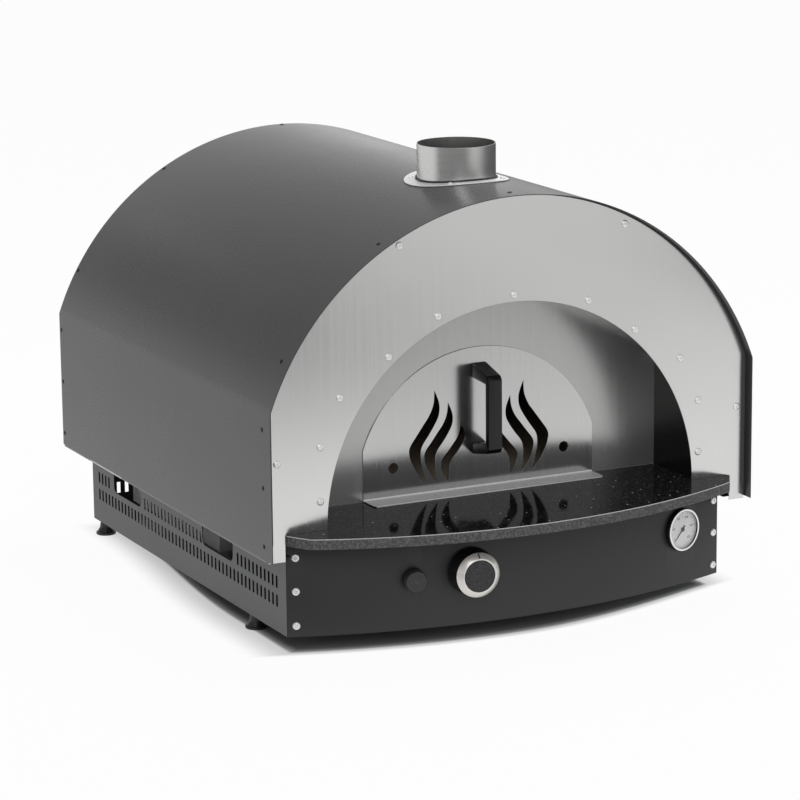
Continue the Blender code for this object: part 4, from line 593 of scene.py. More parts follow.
def flue_bore():
    """Cutter for the flue's hole."""
    radius, low, high = FLUE_RADIUS + GAP, 0.3, 0.8
    return turned([(0, low), (radius, low), (radius, high), (0, high)], place=FLUE)


shell_paint = painted("casing_paint", 0.040, 0.28, 0.4)
sheet_section = [
    (0, EDGE), (EDGE, 0), (SHEET - EDGE, 0), (SHEET, EDGE),
    (SHEET, SHELL_DEPTH - EDGE), (SHEET - EDGE, SHELL_DEPTH), (EDGE, SHELL_DEPTH), (0, SHELL_DEPTH - EDGE),
]
shell_path = arch(SHELL_HALF_WIDTH, 0, SHELL_SPRING, SHELL_CREST)
shell_mesh = carved(folded(shell_path, sheet_section), flue_bore())
foot_run = (FRAME_FRONT + SHEET + GAP, SHELL_DEPTH)
feet_of_shell = [
    block((s * (SHELL_HALF_WIDTH - SHELL_FOOT), s * (SHELL_HALF_WIDTH - SHEET)), foot_run, (0, SHEET))
    for s in (-1, 1)
]
settle("casing_sheet", together(shell_mesh, *feet_of_shell), shell_paint, "shell_skin")

trim_zinc = Finish("trim_zinc", 0.25, 0.45)
trim_y = trim_zinc.along("y")
# Painted highlight: the strip is painted light where it runs over the rear hand-holds
painted_highlight_band = trim_y.smooth(0.265, 0.275) * (1 - trim_y.smooth(0.43, 0.44))
trim_zinc.tint(painted_highlight_band, 0.22, 0.80)
trim_zinc.feed("Roughness", 0.34 + 0.14 * trim_zinc.noise(60, (1, 0.1, 1), detail=3.0))
trim_run = (FRAME_FRONT + 0.004, SHELL_DEPTH - 0.004)
strips = [block((s * 0.4965, s * 0.4988), trim_run, (-0.0040, 0)) for s in (-1, 1)]
settle("edge_trim", together(*strips), trim_zinc)

frame_path = arch(SHELL_INNER, ON_DECK, SHELL_SPRING, SHELL_CREST - SHEET - GAP)
web, frame_end = FRAME_FRONT + SHEET, FRAME_FRONT + FRAME_DEPTH
angle_section = [(0, FRAME_FRONT), (FRAME_WEB, FRAME_FRONT), (FRAME_WEB, web)]
angle_section += [(SHEET, web), (SHEET, frame_end), (0, frame_end)]
settle("front_angle", folded(frame_path, angle_section), base_paint, "front_frame")

back_line = arch(SHELL_INNER - SHEET, ON_DECK + SHEET, SHELL_SPRING, SHELL_CREST - 2 * SHEET - GAP)
back_y = SHELL_DEPTH - 0.004
rim_y = back_y - SHEET - 0.020
back_pan = bmesh.new()
rings = [(frame_path, back_y), (frame_path, rim_y), (back_line, rim_y), (back_line, back_y - SHEET)]
skin(back_pan, [ring(back_pan, line, y, "y") for line, y in rings])
settle("rear_wall", back_pan, base_paint, "rear_panel")


def screw_head(name, radius, height, finish):
    """Pan head with a cross recess, standing on z."""
    bm = bmesh.new()
    rings = []
    for wide, high in ((1, 0), (1, 0.35), (0.86, 0.80), (0.62, 1)):
        rings.append(ring(bm, arc((0, 0), radius * wide, 0, 2 * pi, 20)[:-1], height * high, "z"))
    skin(bm, rings, capped=False)
    bm.faces.new(rings[0])
    arm, half = radius * 0.44, radius * 0.10
    cross = []
    for k in range(4):
        turn = Matrix.Rotation(pi / 2 * k, 2)
        cross += [tuple(turn @ Vector(corner)) for corner in ((half, -half), (arm, -half), (arm, half))]
    top = ring(bm, cross, height, "z")
    low = ring(bm, [(x * 0.7, y * 0.7) for x, y in cross], height * 0.45, "z")
    edges = [bm.edges.new(pair) for pair in zip(top, top[1:] + top[:1])]
    edges += [bm.edges.get(pair) for pair in zip(rings[-1], rings[-1][1:] + rings[-1][:1])]
    bmesh.ops.triangle_fill(bm, edges=edges, use_beauty=True)
    skin(bm, [top, low], capped=False)
    bm.faces.new(low)
    mesh = as_mesh(name, outward(bm))
    mesh.materials.append(finish.material)
    mesh.shade_smooth()
    mesh.set_sharp_from_angle(angle=radians(35))
    return linked(name, mesh)


screws = Recipe("screws")
head_object = screws.size("Head", "Object")
screw_paint = screws.size("Finish", "Material")
facing = screws.term("GeometryNodeInputNamedAttribute", {0: "facing"}, data_type="FLOAT_VECTOR")
aimed = screws.term("FunctionNodeAlignRotationToVector", {"Vector": facing}, axis="Z")
spin = screws.term("FunctionNodeRandomValue", {2: 0.0, 3: 2 * pi, "Seed": 7}, 1, data_type="FLOAT")
spun = screws.term("FunctionNodeAxisAngleToRotation", {"Angle": spin})
set_turn = screws.term("FunctionNodeRotateRotation", {0: aimed, 1: spun}, rotation_space="LOCAL")
head_shape = screws.term("GeometryNodeObjectInfo", {"Object": head_object}, "Geometry")
seed_points = Term(screws, screws.entry.outputs[0])
values = {"Points": seed_points, "Instance": head_shape, "Rotation": set_turn}
screws.end(screws.term("GeometryNodeInstanceOnPoints", values), screw_paint)


def screw_row(name, places, radius, height, finish):
    """Screws at given places, each facing its own way."""
    seed = bpy.data.meshes.new(name)
    seed.from_pydata([place for place, way in places], [], [])
    ways = seed.attributes.new("facing", "FLOAT_VECTOR", "POINT")
    ways.data.foreach_set("vector", [number for place, way in places for number in way])
    head = screw_head(f"{name}_head", radius, height, finish)
    mesh = screws.make(name, seed, Head=head, Finish=finish.material)
    bpy.data.objects.remove(head)
    settle(name, mesh, None, bend=35)


# Black metal: the casing screws' own colour, and painted shade on the deck, rails and shelf channels
black_zinc = Finish("black_zinc", (0.012, 0.012, 0.013), 0.35, 0.6)
black_zinc.wear(0.30, 0.2, 700)
ARCH_CENTRE, ARCH_RADIUS = 0.0941, 0.5312
rows = []
for y in (0.0366, 1.0378):
    for z in (0.0250, 0.1330, 0.2402):
        rows += [((s * SHELL_HALF_WIDTH, y, z), (s, 0, 0)) for s in (-1, 1)]
    for turn in (-60, -30, 0, 30, 60):
        way = (sin(radians(turn)), 0, cos(radians(turn)))
        rows.append(((ARCH_RADIUS * way[0], y, ARCH_CENTRE + ARCH_RADIUS * way[2]), way))
screw_row("casing_screws", rows, 0.0045, 0.0011, black_zinc)

# Deck, rails and trays: sheet, bent and spot-welded, under the oven. The bottom tray is zinc-coated,
# and the deck, the rails and the shelf's channels are painted black as painted shade.
# They show through the hand-holds.
def dress(finish, *nodes):
    """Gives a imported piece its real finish."""
    for node in nodes:
        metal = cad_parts[node].data.materials
        metal.clear()
        metal.append(finish.material)


ZINC_LIGHT, ZINC_DARK = (0.50, 0.51, 0.53), (0.36, 0.37, 0.39)
zinc = Finish("zinc_sheet", ZINC_LIGHT, 0.42, 1.0)
flake = zinc.chance(90)
zinc.tint(flake * 0.35, ZINC_LIGHT, ZINC_DARK)
zinc.feed("Roughness", 0.36 + flake * 0.16 + 0.08 * zinc.noise(40))
dress(zinc, "base_floor", "hearth_tray", "piezo_body")
dress(black_zinc, "deck_plate", "cross_rail_front", "cross_rail_rear")
dress(black_zinc, "shelf_bracket_left", "shelf_bracket_right")
dress(base_paint, "base_rear_panel")

# Levelling feet: moulded black pads on threaded studs, which screw up into the bottom tray.
# Each pad is a low cone with a broad rim.
black_plastic = Finish("moulded_black", (0.014, 0.014, 0.015), 0.34)
black_plastic.wear(0.30, 0.12, 300, 3.0)
black_plastic.relief(black_plastic.noise(1400), 0.00008, 0.4)
FOOT_HEIGHT = 0.030
FOOT_TOP = FOOT_HEIGHT - GAP
STUD_RADIUS, THREAD_DEPTH, THREAD_PITCH = 0.0040, 0.0006, 0.00122
pad = [(0, 0), (0.0194, 0), (0.0204, 0.0010), (0.0204, 0.0042), (0.0196, 0.0050), (0.0182, 0.0056)]
pad += [(0.0128, 0.0135), (0.0124, 0.0150), (0.0104, FOOT_TOP - 0.0010), (0.0094, FOOT_TOP)]
pad += [(STUD_RADIUS, FOOT_TOP)]
for k in range(20):
    base = FOOT_TOP + 0.0012 + k * THREAD_PITCH
    pad += [(STUD_RADIUS, base), (STUD_RADIUS - THREAD_DEPTH, base + THREAD_DEPTH)]
pad += [(STUD_RADIUS - THREAD_DEPTH, FOOT_TOP + 0.0258), (0, FOOT_TOP + 0.0260)]
for end, y in (("front", 0.223), ("rear", 0.983)):
    for side, x in (("left", -0.437), ("right", 0.437)):
        name = f"foot_{end}_{side}"
        shape = turned(pad, 48, Matrix.Translation((x, y, -BASE_HEIGHT - FOOT_HEIGHT)))
        settle(f"{name}_pad", shape, black_plastic, name, f"{name}_body")

# Cooking chamber: an arched steel lining over refractory stones on a tray, with ceramic fibre
# round it. The stones are loose, sawn flat, and lie on the tray with hairline joints.
VAULT_HALF_WIDTH, VAULT_SPRING, VAULT_CREST = 0.412, 0.200, 0.470
LINING_SHEET = 0.002
HEARTH_BOTTOM = 0.0262
CHAMBER_FRONT, CHAMBER_REAR = 0.1752, 0.945
lining_steel = Finish("chamber_steel", 0.42, 0.45, 1.0)
heat = lining_steel.noise(6.0, detail=5.0)
straw, dull = (0.42, 0.3906, 0.336), (0.231, 0.2184, 0.21)
lining_steel.tint(heat.smooth(0.35, 0.65), straw, dull)
lining_steel.feed("Roughness", 0.40 + heat * 0.2)
lining_path = arch(VAULT_HALF_WIDTH, HEARTH_BOTTOM, VAULT_SPRING, VAULT_CREST, 64)
section = [(-LINING_SHEET, CHAMBER_FRONT), (0, CHAMBER_FRONT)]
section += [(0, CHAMBER_REAR), (-LINING_SHEET, CHAMBER_REAR)]
lining = carved(folded(lining_path, section), flue_bore())
settle("chamber_vault", lining, lining_steel, "vault_lining")
dress(lining_steel, "chamber_back_wall", "burner_guard")

stone = Finish("hearth_stone", (0.56, 0.48, 0.37), 0.85)
grain = stone.noise(160, detail=5.0)
stone.tint(grain.smooth(0.3, 0.7), (0.60, 0.52, 0.41), (0.45, 0.37, 0.28))
stone.feed("Roughness", 0.78 + grain * 0.15)
stone.relief(grain * 0.6 + stone.cells(240) * 0.4, 0.0008, 0.5)


def eased(bm, width, segments=3):
    """Shape with its sharp edges rounded off."""
    sharp = [e for e in bm.edges if len(e.link_faces) == 2 and e.calc_face_angle() > radians(32)]
    bmesh.ops.bevel(bm, geom=sharp, offset=width, segments=segments, profile=0.5, affect="EDGES")
    return bm


def eased_copy(name, node, width, finish, body="casing"):
    """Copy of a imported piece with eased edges."""
    bm = bmesh.new()
    bm.from_mesh(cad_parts[node].data)
    bmesh.ops.remove_doubles(bm, verts=bm.verts, dist=0.00001)
    bmesh.ops.dissolve_limit(bm, angle_limit=radians(1), verts=bm.verts, edges=bm.edges)
    settle(name, moved(eased(bm, width), STAND.inverted()), finish, node, body, bend=12)


for node in ("hearth_stone_1", "hearth_stone_2", "hearth_stone_3", "hearth_stone_4", "hearth_side_stone"):
    eased_copy(f"{node}_slab", node, 0.0012, stone)
fibre = Finish("fibre_blanket", (0.86, 0.86, 0.84), 0.95)
fleece = fibre.noise(60, (1, 3, 1), detail=6.0)
fibre.tint(fleece, (0.90, 0.90, 0.88), (0.74, 0.74, 0.72))
fibre.relief(fleece, 0.004, 0.7)
dress(fibre, "vault_blanket")
board = Finish("insulating_board", (0.72, 0.69, 0.62), 0.9)
crumb = board.noise(300, detail=4.0)
board.tint(crumb, (0.76, 0.73, 0.66), (0.62, 0.59, 0.52))
board.relief(crumb, 0.0005, 0.5)
dress(board, "floor_insulation")


# Burner: a pressed box hung in the tray, with a slotted tube, a brass jet and two ceramic probes,
# and copper pipes from the valve. The spark lead has a red silicone sleeve.
def brushed(name, tone, roughness, stretch, pull=0.4, streak=0.20):
    """Stainless sheet with the fine parallel scratches of its brushing, coloured if it has a streak."""
    steel = Finish(name, (tone, tone, tone * 0.99), roughness, 1.0, Anisotropic=pull)
    steel.scratch = steel.noise(1.0, stretch, detail=6.0, roughness=0.65)
    cloud = steel.noise(4.0, detail=3.0)
    if streak:
        lift = 1 - streak / 2 + steel.scratch * streak + (cloud - 0.5) * 0.10
        steel.feed("Base Color", steel.scaled((tone, tone, tone * 0.99), lift))
    steel.feed("Roughness", roughness - 0.06 + steel.scratch * 0.12 + (cloud - 0.5) * 0.06)
    steel.relief(steel.scratch, 0.00005, 0.25)
    return steel


def tarnished(name, light, dark, scale, detail, low, spread):
    """Metal that drifts between a clean and a dull tone."""
    metal = Finish(name, light, low, 1.0)
    bloom = metal.noise(scale, detail=detail)
    metal.tint(bloom, light, dark)
    metal.feed("Roughness", low + bloom * spread)
    return metal


bright_steel = brushed("bright_sheet", 0.62, 0.30, (140, 3, 140), 0.3)
dress(bright_steel, "burner_tube", "thermometer_case")
box_sheet = Finish("pressed_sheet", (0.95, 0.95, 0.94), 0.45)
box_sheet.wear(0.40, 0.14, 50, 4.0)
dress(box_sheet, "burner_box")
brass = tarnished("brass", (0.74, 0.56, 0.27), (0.52, 0.38, 0.18), 30, 4.0, 0.24, 0.2)
dress(brass, "gas_jet", "gas_valve", "gas_inlet", "valve_plunger")
copper = tarnished("copper_pipe", (0.74, 0.45, 0.31), (0.42, 0.25, 0.18), 25, 5.0, 0.26, 0.22)
dress(copper, "supply_pipe", "burner_pipe", "thermometer_capillary")
glaze = Finish("probe_ceramic", (0.85, 0.84, 0.80), 0.3)
glaze.wear(0.25, 0.2, 200)
dress(glaze, "ignition_electrode", "flame_sensor")
sleeve = Finish("silicone_sleeve", (0.18, 0.02, 0.015), 0.6)
sleeve.wear(0.5, 0.2, 400)
dress(sleeve, "ignition_lead")

# Front plate: laser-cut stainless sheet, brushed upright and set back in the casing's lip. Bright
# pan-head screws hold it to the angle frame behind it.
SHELF_BOTTOM, SHELF_TOP = 0.0246, 0.0446
OPENING_RADIUS, NOTCH = 0.381, 0.4645
UPRIGHT_GRAIN = (150, 150, 2.5)


def plate(outlines, thickness, edge, matrix):
    """Flat sheet with holes, its edges broken: outlines lie in x and z, the front faces back from y."""
    curve = bpy.data.curves.new("plate", "CURVE")
    curve.dimensions, curve.fill_mode = "2D", "BOTH"
    curve.extrude, curve.offset = thickness / 2 - edge, -edge
    curve.bevel_depth, curve.bevel_resolution = edge, 0
    for outline in outlines:
        spline = curve.splines.new("POLY")
        spline.points.add(len(outline) - 1)
        for point, (u, v) in zip(spline.points, outline):
            point.co = (u, v, 0, 1)
        spline.use_cyclic_u = True
    mesh = plain_mesh(linked("plate", curve))
    bm = bmesh.new()
    bm.from_mesh(mesh)
    bpy.data.meshes.remove(mesh)
    bmesh.ops.remove_doubles(bm, verts=bm.verts, dist=0.000005)
    return moved(bm, matrix @ Matrix.Rotation(pi / 2, 4, "X"))


face_steel = brushed("face_steel", 0.66, 0.18, UPRIGHT_GRAIN, streak=0.10)
outside = arch(SHELL_HALF_WIDTH - 0.0115, 0.030, SHELL_SPRING + 0.0109, SHELL_CREST - 0.0038)
heel = -0.0045
outline = [(SHELL_HALF_WIDTH - 0.0025, heel), *outside, (-SHELL_HALF_WIDTH + 0.0025, heel), (-NOTCH, heel)]
outline += [(-NOTCH, SHELF_TOP), *arc((0, SHELF_TOP), OPENING_RADIUS, pi, 0, 96)]
outline += [(NOTCH, SHELF_TOP), (NOTCH, heel)]
face = plate([outline], SHEET, 0.0003, Matrix.Translation((0, FACE_INSET + SHEET / 2, 0)))
settle("face_sheet", face, face_steel, "face_plate")
bright_screw = Finish("bright_screw", (0.93, 0.93, 0.92), 0.30, 0.55)
bright_screw.wear(0.24, 0.14, 900)
spots = [(0, 0.4388)]
for x, z in (
    (0.1555, 0.4136), (0.2554, 0.3489), (0.3533, 0.2843), (0.3932, 0.1987),
    (0.3943, 0.0984), (0.4785, 0.1773), (0.232, 0.550),
):
    spots += [(-x, z), (x, z)]
rows = [((x, FACE_INSET, z), (0, -1, 0)) for x, z in spots]
screw_row("face_screws", rows, 0.0070, 0.0030, bright_screw)

# Throat: a folded stainless hood from the front plate back to the chamber, and the plate that
# closes it, with the chamber's own mouth cut through. The hood's right wall carries a painted dark
# reflection.
DOOR_FRONT, DOOR_SHEET = 0.168, 0.002
MOUTH_FRONT = DOOR_FRONT + DOOR_SHEET + GAP
ON_SHELF = SHELF_TOP + GAP
HOOD_SHEET, HOOD_LIP = 0.0012, 0.018
HOOD_HALF_WIDTH, HOOD_SHOULDER, HOOD_FLAT, HOOD_TOP = 0.385, 0.249, 0.1165, 0.4275
MOUTH_HALF_WIDTH, MOUTH_SPRING, MOUTH_CREST = 0.2275, 0.1251, 0.290
BLANKET_THICKNESS = 0.050


def rounded_path(points, radius, steps=5):
    """Open path with its inner corners rounded."""
    line = [tuple(points[0])]
    for before, corner, after in zip(points, points[1:], points[2:]):
        corner = Vector(corner)
        start = corner + (Vector(before) - corner).normalized() * radius
        end = corner + (Vector(after) - corner).normalized() * radius
        for i in range(steps + 1):
            t = i / steps
            line.append(tuple(start * (1 - t) ** 2 + corner * 2 * t * (1 - t) + end * t ** 2))
    return line + [tuple(points[-1])]


throat_steel = brushed("throat_steel", 0.46, 0.16, (150, 2.5, 150), 0.5, streak=None)
haze = throat_steel.mix(throat_steel.noise(7.0, detail=4.0), (0.42, 0.42, 0.415), (0.50, 0.50, 0.495))
# Painted reflection: the hood's right wall is painted near-black
painted_dark_wall = throat_steel.along("x").smooth(HOOD_HALF_WIDTH - 0.005, HOOD_HALF_WIDTH - 0.001)
throat_steel.tint(painted_dark_wall, haze, (0.045, 0.045, 0.044))
hood = [(HOOD_HALF_WIDTH, ON_SHELF), (HOOD_HALF_WIDTH, HOOD_SHOULDER), (HOOD_FLAT, HOOD_TOP)]
hood_path = rounded_path(hood + [(-x, z) for x, z in reversed(hood)], 0.004)
web, hood_end = FRAME_FRONT + HOOD_SHEET, MOUTH_FRONT - GAP
section = [(0, FRAME_FRONT), (-HOOD_LIP, FRAME_FRONT), (-HOOD_LIP, web)]
section += [(-HOOD_SHEET, web), (-HOOD_SHEET, hood_end), (0, hood_end)]
settle("throat_hood", folded(hood_path, section), throat_steel, "throat_liner")
closing_steel = brushed("closing_steel", 0.50, 0.24, UPRIGHT_GRAIN, 0.5, streak=0.16)
closing_steel.feed("Metallic", 0.72 + 0.06 * closing_steel.noise(8.0))
closing = arch(VAULT_HALF_WIDTH, ON_DECK, VAULT_SPRING, VAULT_CREST)
closing = inset(closing, -(LINING_SHEET + GAP + BLANKET_THICKNESS))
mouth = arch(MOUTH_HALF_WIDTH, SHELF_TOP, MOUTH_SPRING, MOUTH_CREST, 64)
closing_plate = plate([closing, mouth], SHEET, 0.0003, Matrix.Translation((0, MOUTH_FRONT + SHEET / 2, 0)))
settle("closing_plate", closing_plate, closing_steel, "mouth_plate")

# Flue: a rolled and welded stainless spigot in a pale saddle flange. Four small screws hold the
# flange to the casing's crest. Black rings round the spigot's foot and under the flange's edge are painted
# shadow.
FLUE_TOP, FLUE_SHEET = 0.6894, 0.0015
flue_steel = brushed("flue_steel", 0.58, 0.28, (3, 3, 160))
low, inner = VAULT_CREST - 0.004, FLUE_RADIUS - FLUE_SHEET
spigot = [(inner, low), (FLUE_RADIUS, low), (FLUE_RADIUS, FLUE_TOP - EDGE), (FLUE_RADIUS - EDGE, FLUE_TOP)]
spigot += [(inner + EDGE, FLUE_TOP), (inner, FLUE_TOP - EDGE)]
settle("flue_spigot", turned(spigot, 128, FLUE), flue_steel, "flue_pipe")


def on_crest(x, y, lift):
    """Point above the rolled casing."""
    turn = asin(x / ARCH_RADIUS)
    return ((ARCH_RADIUS + lift) * sin(turn), y, ARCH_CENTRE + (ARCH_RADIUS + lift) * cos(turn))


def saddle(section, steps):
    """Section of radius and lift, carried round the flue along the rolled casing."""
    bm = bmesh.new()
    rings = []
    for k in range(steps):
        turn = 2 * pi * k / steps
        spots = [on_crest(r * cos(turn), FLUE_CENTRE + r * sin(turn), lift) for r, lift in section]
        rings.append([bm.verts.new(spot) for spot in spots])
    return skin(bm, rings + rings[:1], capped=False)


FLANGE_SHEET, FLANGE_WIDTH = 0.0020, 0.024
near, far, top = FLUE_RADIUS + GAP, FLUE_RADIUS + FLANGE_WIDTH, GAP + FLANGE_SHEET
section = [(near, GAP), (far, GAP), (far, top - EDGE)]
section += [(far - EDGE, top), (near + EDGE, top), (near, top - EDGE)]
flange_steel = brushed("flange_steel", 0.92, 0.34, (4, 4, 4), 0.0)
flange_steel.feed("Metallic", 0.25 + 0.1 * flange_steel.noise(30))
settle("flue_saddle", saddle(section, 96), flange_steel, "flue_flange")
# Painted shadow: black rings in the gap at the spigot's foot and along the flange's lower edge
shadow_black = Finish("black_sealant", 0.012, 0.45)
shadow_black.wear(0.40, 0.15, 200)
shadow_rings = []
for near, far, low, high in ((0.0004, 0.0034, 0.0024, 0.0050), (0.0215, 0.0256, 0.0001, 0.0010)):
    near, far = FLUE_RADIUS + near, FLUE_RADIUS + far
    shadow_rings.append(saddle([(near, low), (far, low), (near * 0.3 + far * 0.7, high), (near, high)], 72))
settle("flue_sealant", together(*shadow_rings), shadow_black)
rows = []
for turn in (-35, 55, 145, 235):
    x, y = 0.0865 * cos(radians(turn)), 0.0865 * sin(radians(turn))
    rows.append((on_crest(x, FLUE_CENTRE + y, top), (x / ARCH_RADIUS, 0, sqrt(1 - (x / ARCH_RADIUS) ** 2))))
screw_row("flange_screws", rows, 0.0045, 0.0022, bright_screw)

# Control panel: one sheet bent to a long bow, with its top edge turned in, painted near-black, and
# held to the base's returns by three bright screws at each end.
PANEL_RISE, PANEL_LIP = 0.0243, 0.012
panel_paint = painted("panel_paint", 0.018, 0.42, 0.7)
reach = asin(BASE_HALF_WIDTH / PANEL_RADIUS)
panel_path = arc((0, PANEL_FRONT + PANEL_RADIUS), PANEL_RADIUS, -pi / 2 - reach, -pi / 2 + reach, 96)
section = [(0, -BASE_HEIGHT + EDGE), (EDGE, -BASE_HEIGHT), (SHEET, -BASE_HEIGHT), (SHEET, PANEL_RISE - SHEET)]
section += [(PANEL_LIP, PANEL_RISE - SHEET), (PANEL_LIP, PANEL_RISE), (0.0015, PANEL_RISE)]
section += [(0.0005, PANEL_RISE - 0.0005), (0, PANEL_RISE - 0.0015)]


def station(x, drop):
    """Frame on the panel: z out of its face, y up."""
    turn = Matrix.Rotation(asin(x / PANEL_RADIUS), 4, "Z") @ Matrix.Rotation(pi / 2, 4, "X")
    return Matrix.Translation((x, panel_y(x), -drop)) @ turn


KNOB, BUTTON, DIAL = station(-0.1213, 0.0508), station(-0.2297, 0.0574), station(0.3519, 0.0454)
holes = []
for place, radius in ((KNOB, 0.005), (BUTTON, 0.0093), (DIAL, 0.0378)):
    holes.append(turned([(0, -0.006), (radius, -0.006), (radius, 0.004), (0, 0.004)], 48, place))
panel = carved(folded(panel_path, section, "z"), *holes)
settle("front_panel", panel, panel_paint, "control_panel")
rows = []
for x, lift in ((-0.4376, 0.0025), (0.441, 0)):
    for drop in (0.0070, 0.0702, 0.1345):
        place = station(x, drop - lift)
        rows.append((tuple(place.translation), tuple(place.col[2].xyz)))
screw_row("panel_screws", rows, 0.0074, 0.0034, bright_screw)

# Shelf: a polished slab of black granite, laid on two channels. Its bowed front edge is honed and
# grey, with a painted highlight along its top arris, and two corners are cut off straight.
granite = Finish("black_granite", (0.012, 0.012, 0.013), 0.07, IOR=1.13)
flecks = (granite.chance(330) > 0.88) * (1 - granite.cells(330).smooth(0.10, 0.42))
stars = (granite.chance(115) > 0.955) * (1 - granite.cells(115).smooth(0.08, 0.24))
cloud = granite.noise(130, detail=4.0)
ground = granite.mix(cloud.smooth(0.45, 0.75), (0.006, 0.006, 0.007), (0.034, 0.035, 0.038))
ground = granite.mix(flecks * 0.8, ground, (0.28, 0.28, 0.29))
ground = granite.mix(stars, ground, (0.90, 0.88, 0.84))
slope = granite.facing((0, 0, 1))
honed = 1 - slope.math("ABSOLUTE").smooth(0.5, 0.9)
# Painted highlight: the rounded top arris is painted near-white
arris_highlight = slope.smooth(0.15, 0.35) * (1 - slope.smooth(0.85, 0.97))
crystal = granite.noise(260, detail=5.0).smooth(0.35, 0.70)
ground = granite.mix(honed * 0.92, ground, granite.mix(crystal, (0.09, 0.088, 0.088), (0.19, 0.187, 0.187)))
granite.tint(arris_highlight, ground, (0.75, 0.75, 0.76))
granite.feed("Roughness", 0.05 + cloud * 0.05 + flecks * 0.1 + 0.3 * honed)
SHELF_HALF_WIDTH, SHELF_FRONT, SHELF_SAGITTA, SHELF_CORNER = 0.463, -0.1238, 0.112, 0.046
SHELF_RADIUS = (SHELF_HALF_WIDTH ** 2 + SHELF_SAGITTA ** 2) / (2 * SHELF_SAGITTA)
corner_x, inner_radius = SHELF_HALF_WIDTH - SHELF_CORNER, SHELF_RADIUS - SHELF_CORNER
corner_middle = SHELF_FRONT + SHELF_RADIUS - sqrt(inner_radius ** 2 - corner_x ** 2)
reach = asin(corner_x / inner_radius)
edge = arc((-corner_x, corner_middle), SHELF_CORNER, pi, 3 * pi / 2 - reach, 1)
edge += arc((0, SHELF_FRONT + SHELF_RADIUS), SHELF_RADIUS, -pi / 2 - reach, -pi / 2 + reach, 96)[1:-1]
edge += arc((corner_x, corner_middle), SHELF_CORNER, -pi / 2 + reach, 0, 1)
edge += [(SHELF_HALF_WIDTH, MOUTH_FRONT - GAP), (-SHELF_HALF_WIDTH, MOUTH_FRONT - GAP)]
slab = eased(outward(prism(edge, SHELF_BOTTOM, SHELF_TOP, "z")), 0.0016)
settle("granite_slab", slab, granite, "granite_shelf", bend=12)

# Door: a laser-cut stainless plate with a folded foot, six flame-shaped vents and two round ones.
# Each flame is one outline, drawn from shares of its height and then swayed and widened.
DOOR_HALF_WIDTH, DOOR_SPRING, DOOR_CREST = 0.243, 0.1406, 0.3154
LEDGE_DEPTH, LEDGE_CORNER = 0.049, 0.005
DOOR = Matrix.Translation((0.004, DOOR_FRONT, 0))
FLAME_SHARES = (
    (0.00, 0.000, 0.00, 0.000), (0.11, -0.065, 0.15, 0.062), (0.24, -0.117, 0.38, 0.106),
    (0.34, -0.135, 0.60, 0.132), (0.42, -0.120, 0.80, 0.145), (0.53, -0.042, 0.95, 0.147),
    (0.64, 0.035, 1.00, 0.138), (0.74, 0.095, 1.00, 0.112), (0.86, 0.121, 0.97, 0.064),
    (1.00, 0.100, 1.00, 0.000),
)


def flame(side, place, height, sway, breadth, bottom):
    """Outline of one flame, from its bottom tip up one edge and down the other."""
    stations = []
    shares = (FLAME_SHARES[0], *FLAME_SHARES, FLAME_SHARES[-1])
    for a, b, c, d in zip(shares, shares[1:], shares[2:], shares[3:]):
        for i in range(6):
            t = i / 6
            stations.append([
                q + t * (r - p + t * (2 * p - 5 * q + 4 * r - s + t * (3 * (q - r) + s - p))) / 2
                for p, q, r, s in zip(a, b, c, d)
            ])
    stations.append(FLAME_SHARES[-1])
    edges = []
    for way in (-0.5, 0.5):
        edges.append([
            (place - side * height * (lean + extra * sway + way * breadth * width), bottom + height * rise)
            for rise, lean, extra, width in stations
        ])
    return edges[0] + edges[1][-2:0:-1]


door_steel = brushed("door_steel", 0.54, 0.16, UPRIGHT_GRAIN, streak=None)
rise = door_steel.along("z") - (ON_SHELF + STAND_UP)
depth = door_steel.along("y") - (DOOR_FRONT + STAND_BACK)
# Painted highlight on the fold and the foot's front edge; the foot itself is coloured darker than the leaf
tongue_edge_highlight = 1 - depth.smooth(-0.0484, -0.0476)
bend_highlight = rise.smooth(0.0019, 0.0021) * (1 - rise.smooth(0.0040, 0.0046)) + tongue_edge_highlight
leaf_tone = door_steel.mix(door_steel.scratch, (0.49, 0.49, 0.485), (0.57, 0.57, 0.565))
tone = door_steel.mix((-depth).smooth(0.0010, 0.0030), leaf_tone, 0.20)
door_steel.feed("Metallic", 1 - 0.8 * bend_highlight)
door_steel.tint(bend_highlight, tone, 0.95)
cuts = [arch(DOOR_HALF_WIDTH, ON_SHELF, DOOR_SPRING, DOOR_CREST)]
for side in (-1, 1):
    cuts.append(arc((side * 0.1807, SHELF_TOP + 0.0574), 0.010, 0, 2 * pi, 40)[:-1])
    for place, height, sway, breadth in (
        (0.0650, 0.1094, 0.140, 1.40), (0.0885, 0.1511, 0.052, 1.15), (0.1115, 0.1771, 0, 1),
    ):
        cuts.append(flame(side, side * place, height, sway, breadth, SHELF_TOP + 0.0189))
leaf = plate(cuts, DOOR_SHEET, 0.0002, Matrix.Translation((0, DOOR_SHEET / 2, 0)))
short, cut = DOOR_HALF_WIDTH - LEDGE_CORNER, LEDGE_CORNER - LEDGE_DEPTH
tongue = [(-short, -LEDGE_DEPTH), (short, -LEDGE_DEPTH), (DOOR_HALF_WIDTH, cut)]
tongue += [(DOOR_HALF_WIDTH, 0.0010), (-DOOR_HALF_WIDTH, 0.0010), (-DOOR_HALF_WIDTH, cut)]
ledge = eased(outward(prism(tongue, ON_SHELF, ON_SHELF + DOOR_SHEET, "z")), 0.0003, 1)
leaf = moved(together(leaf, ledge), DOOR)
settle("door_leaf", leaf, door_steel, "door_plate", "door")

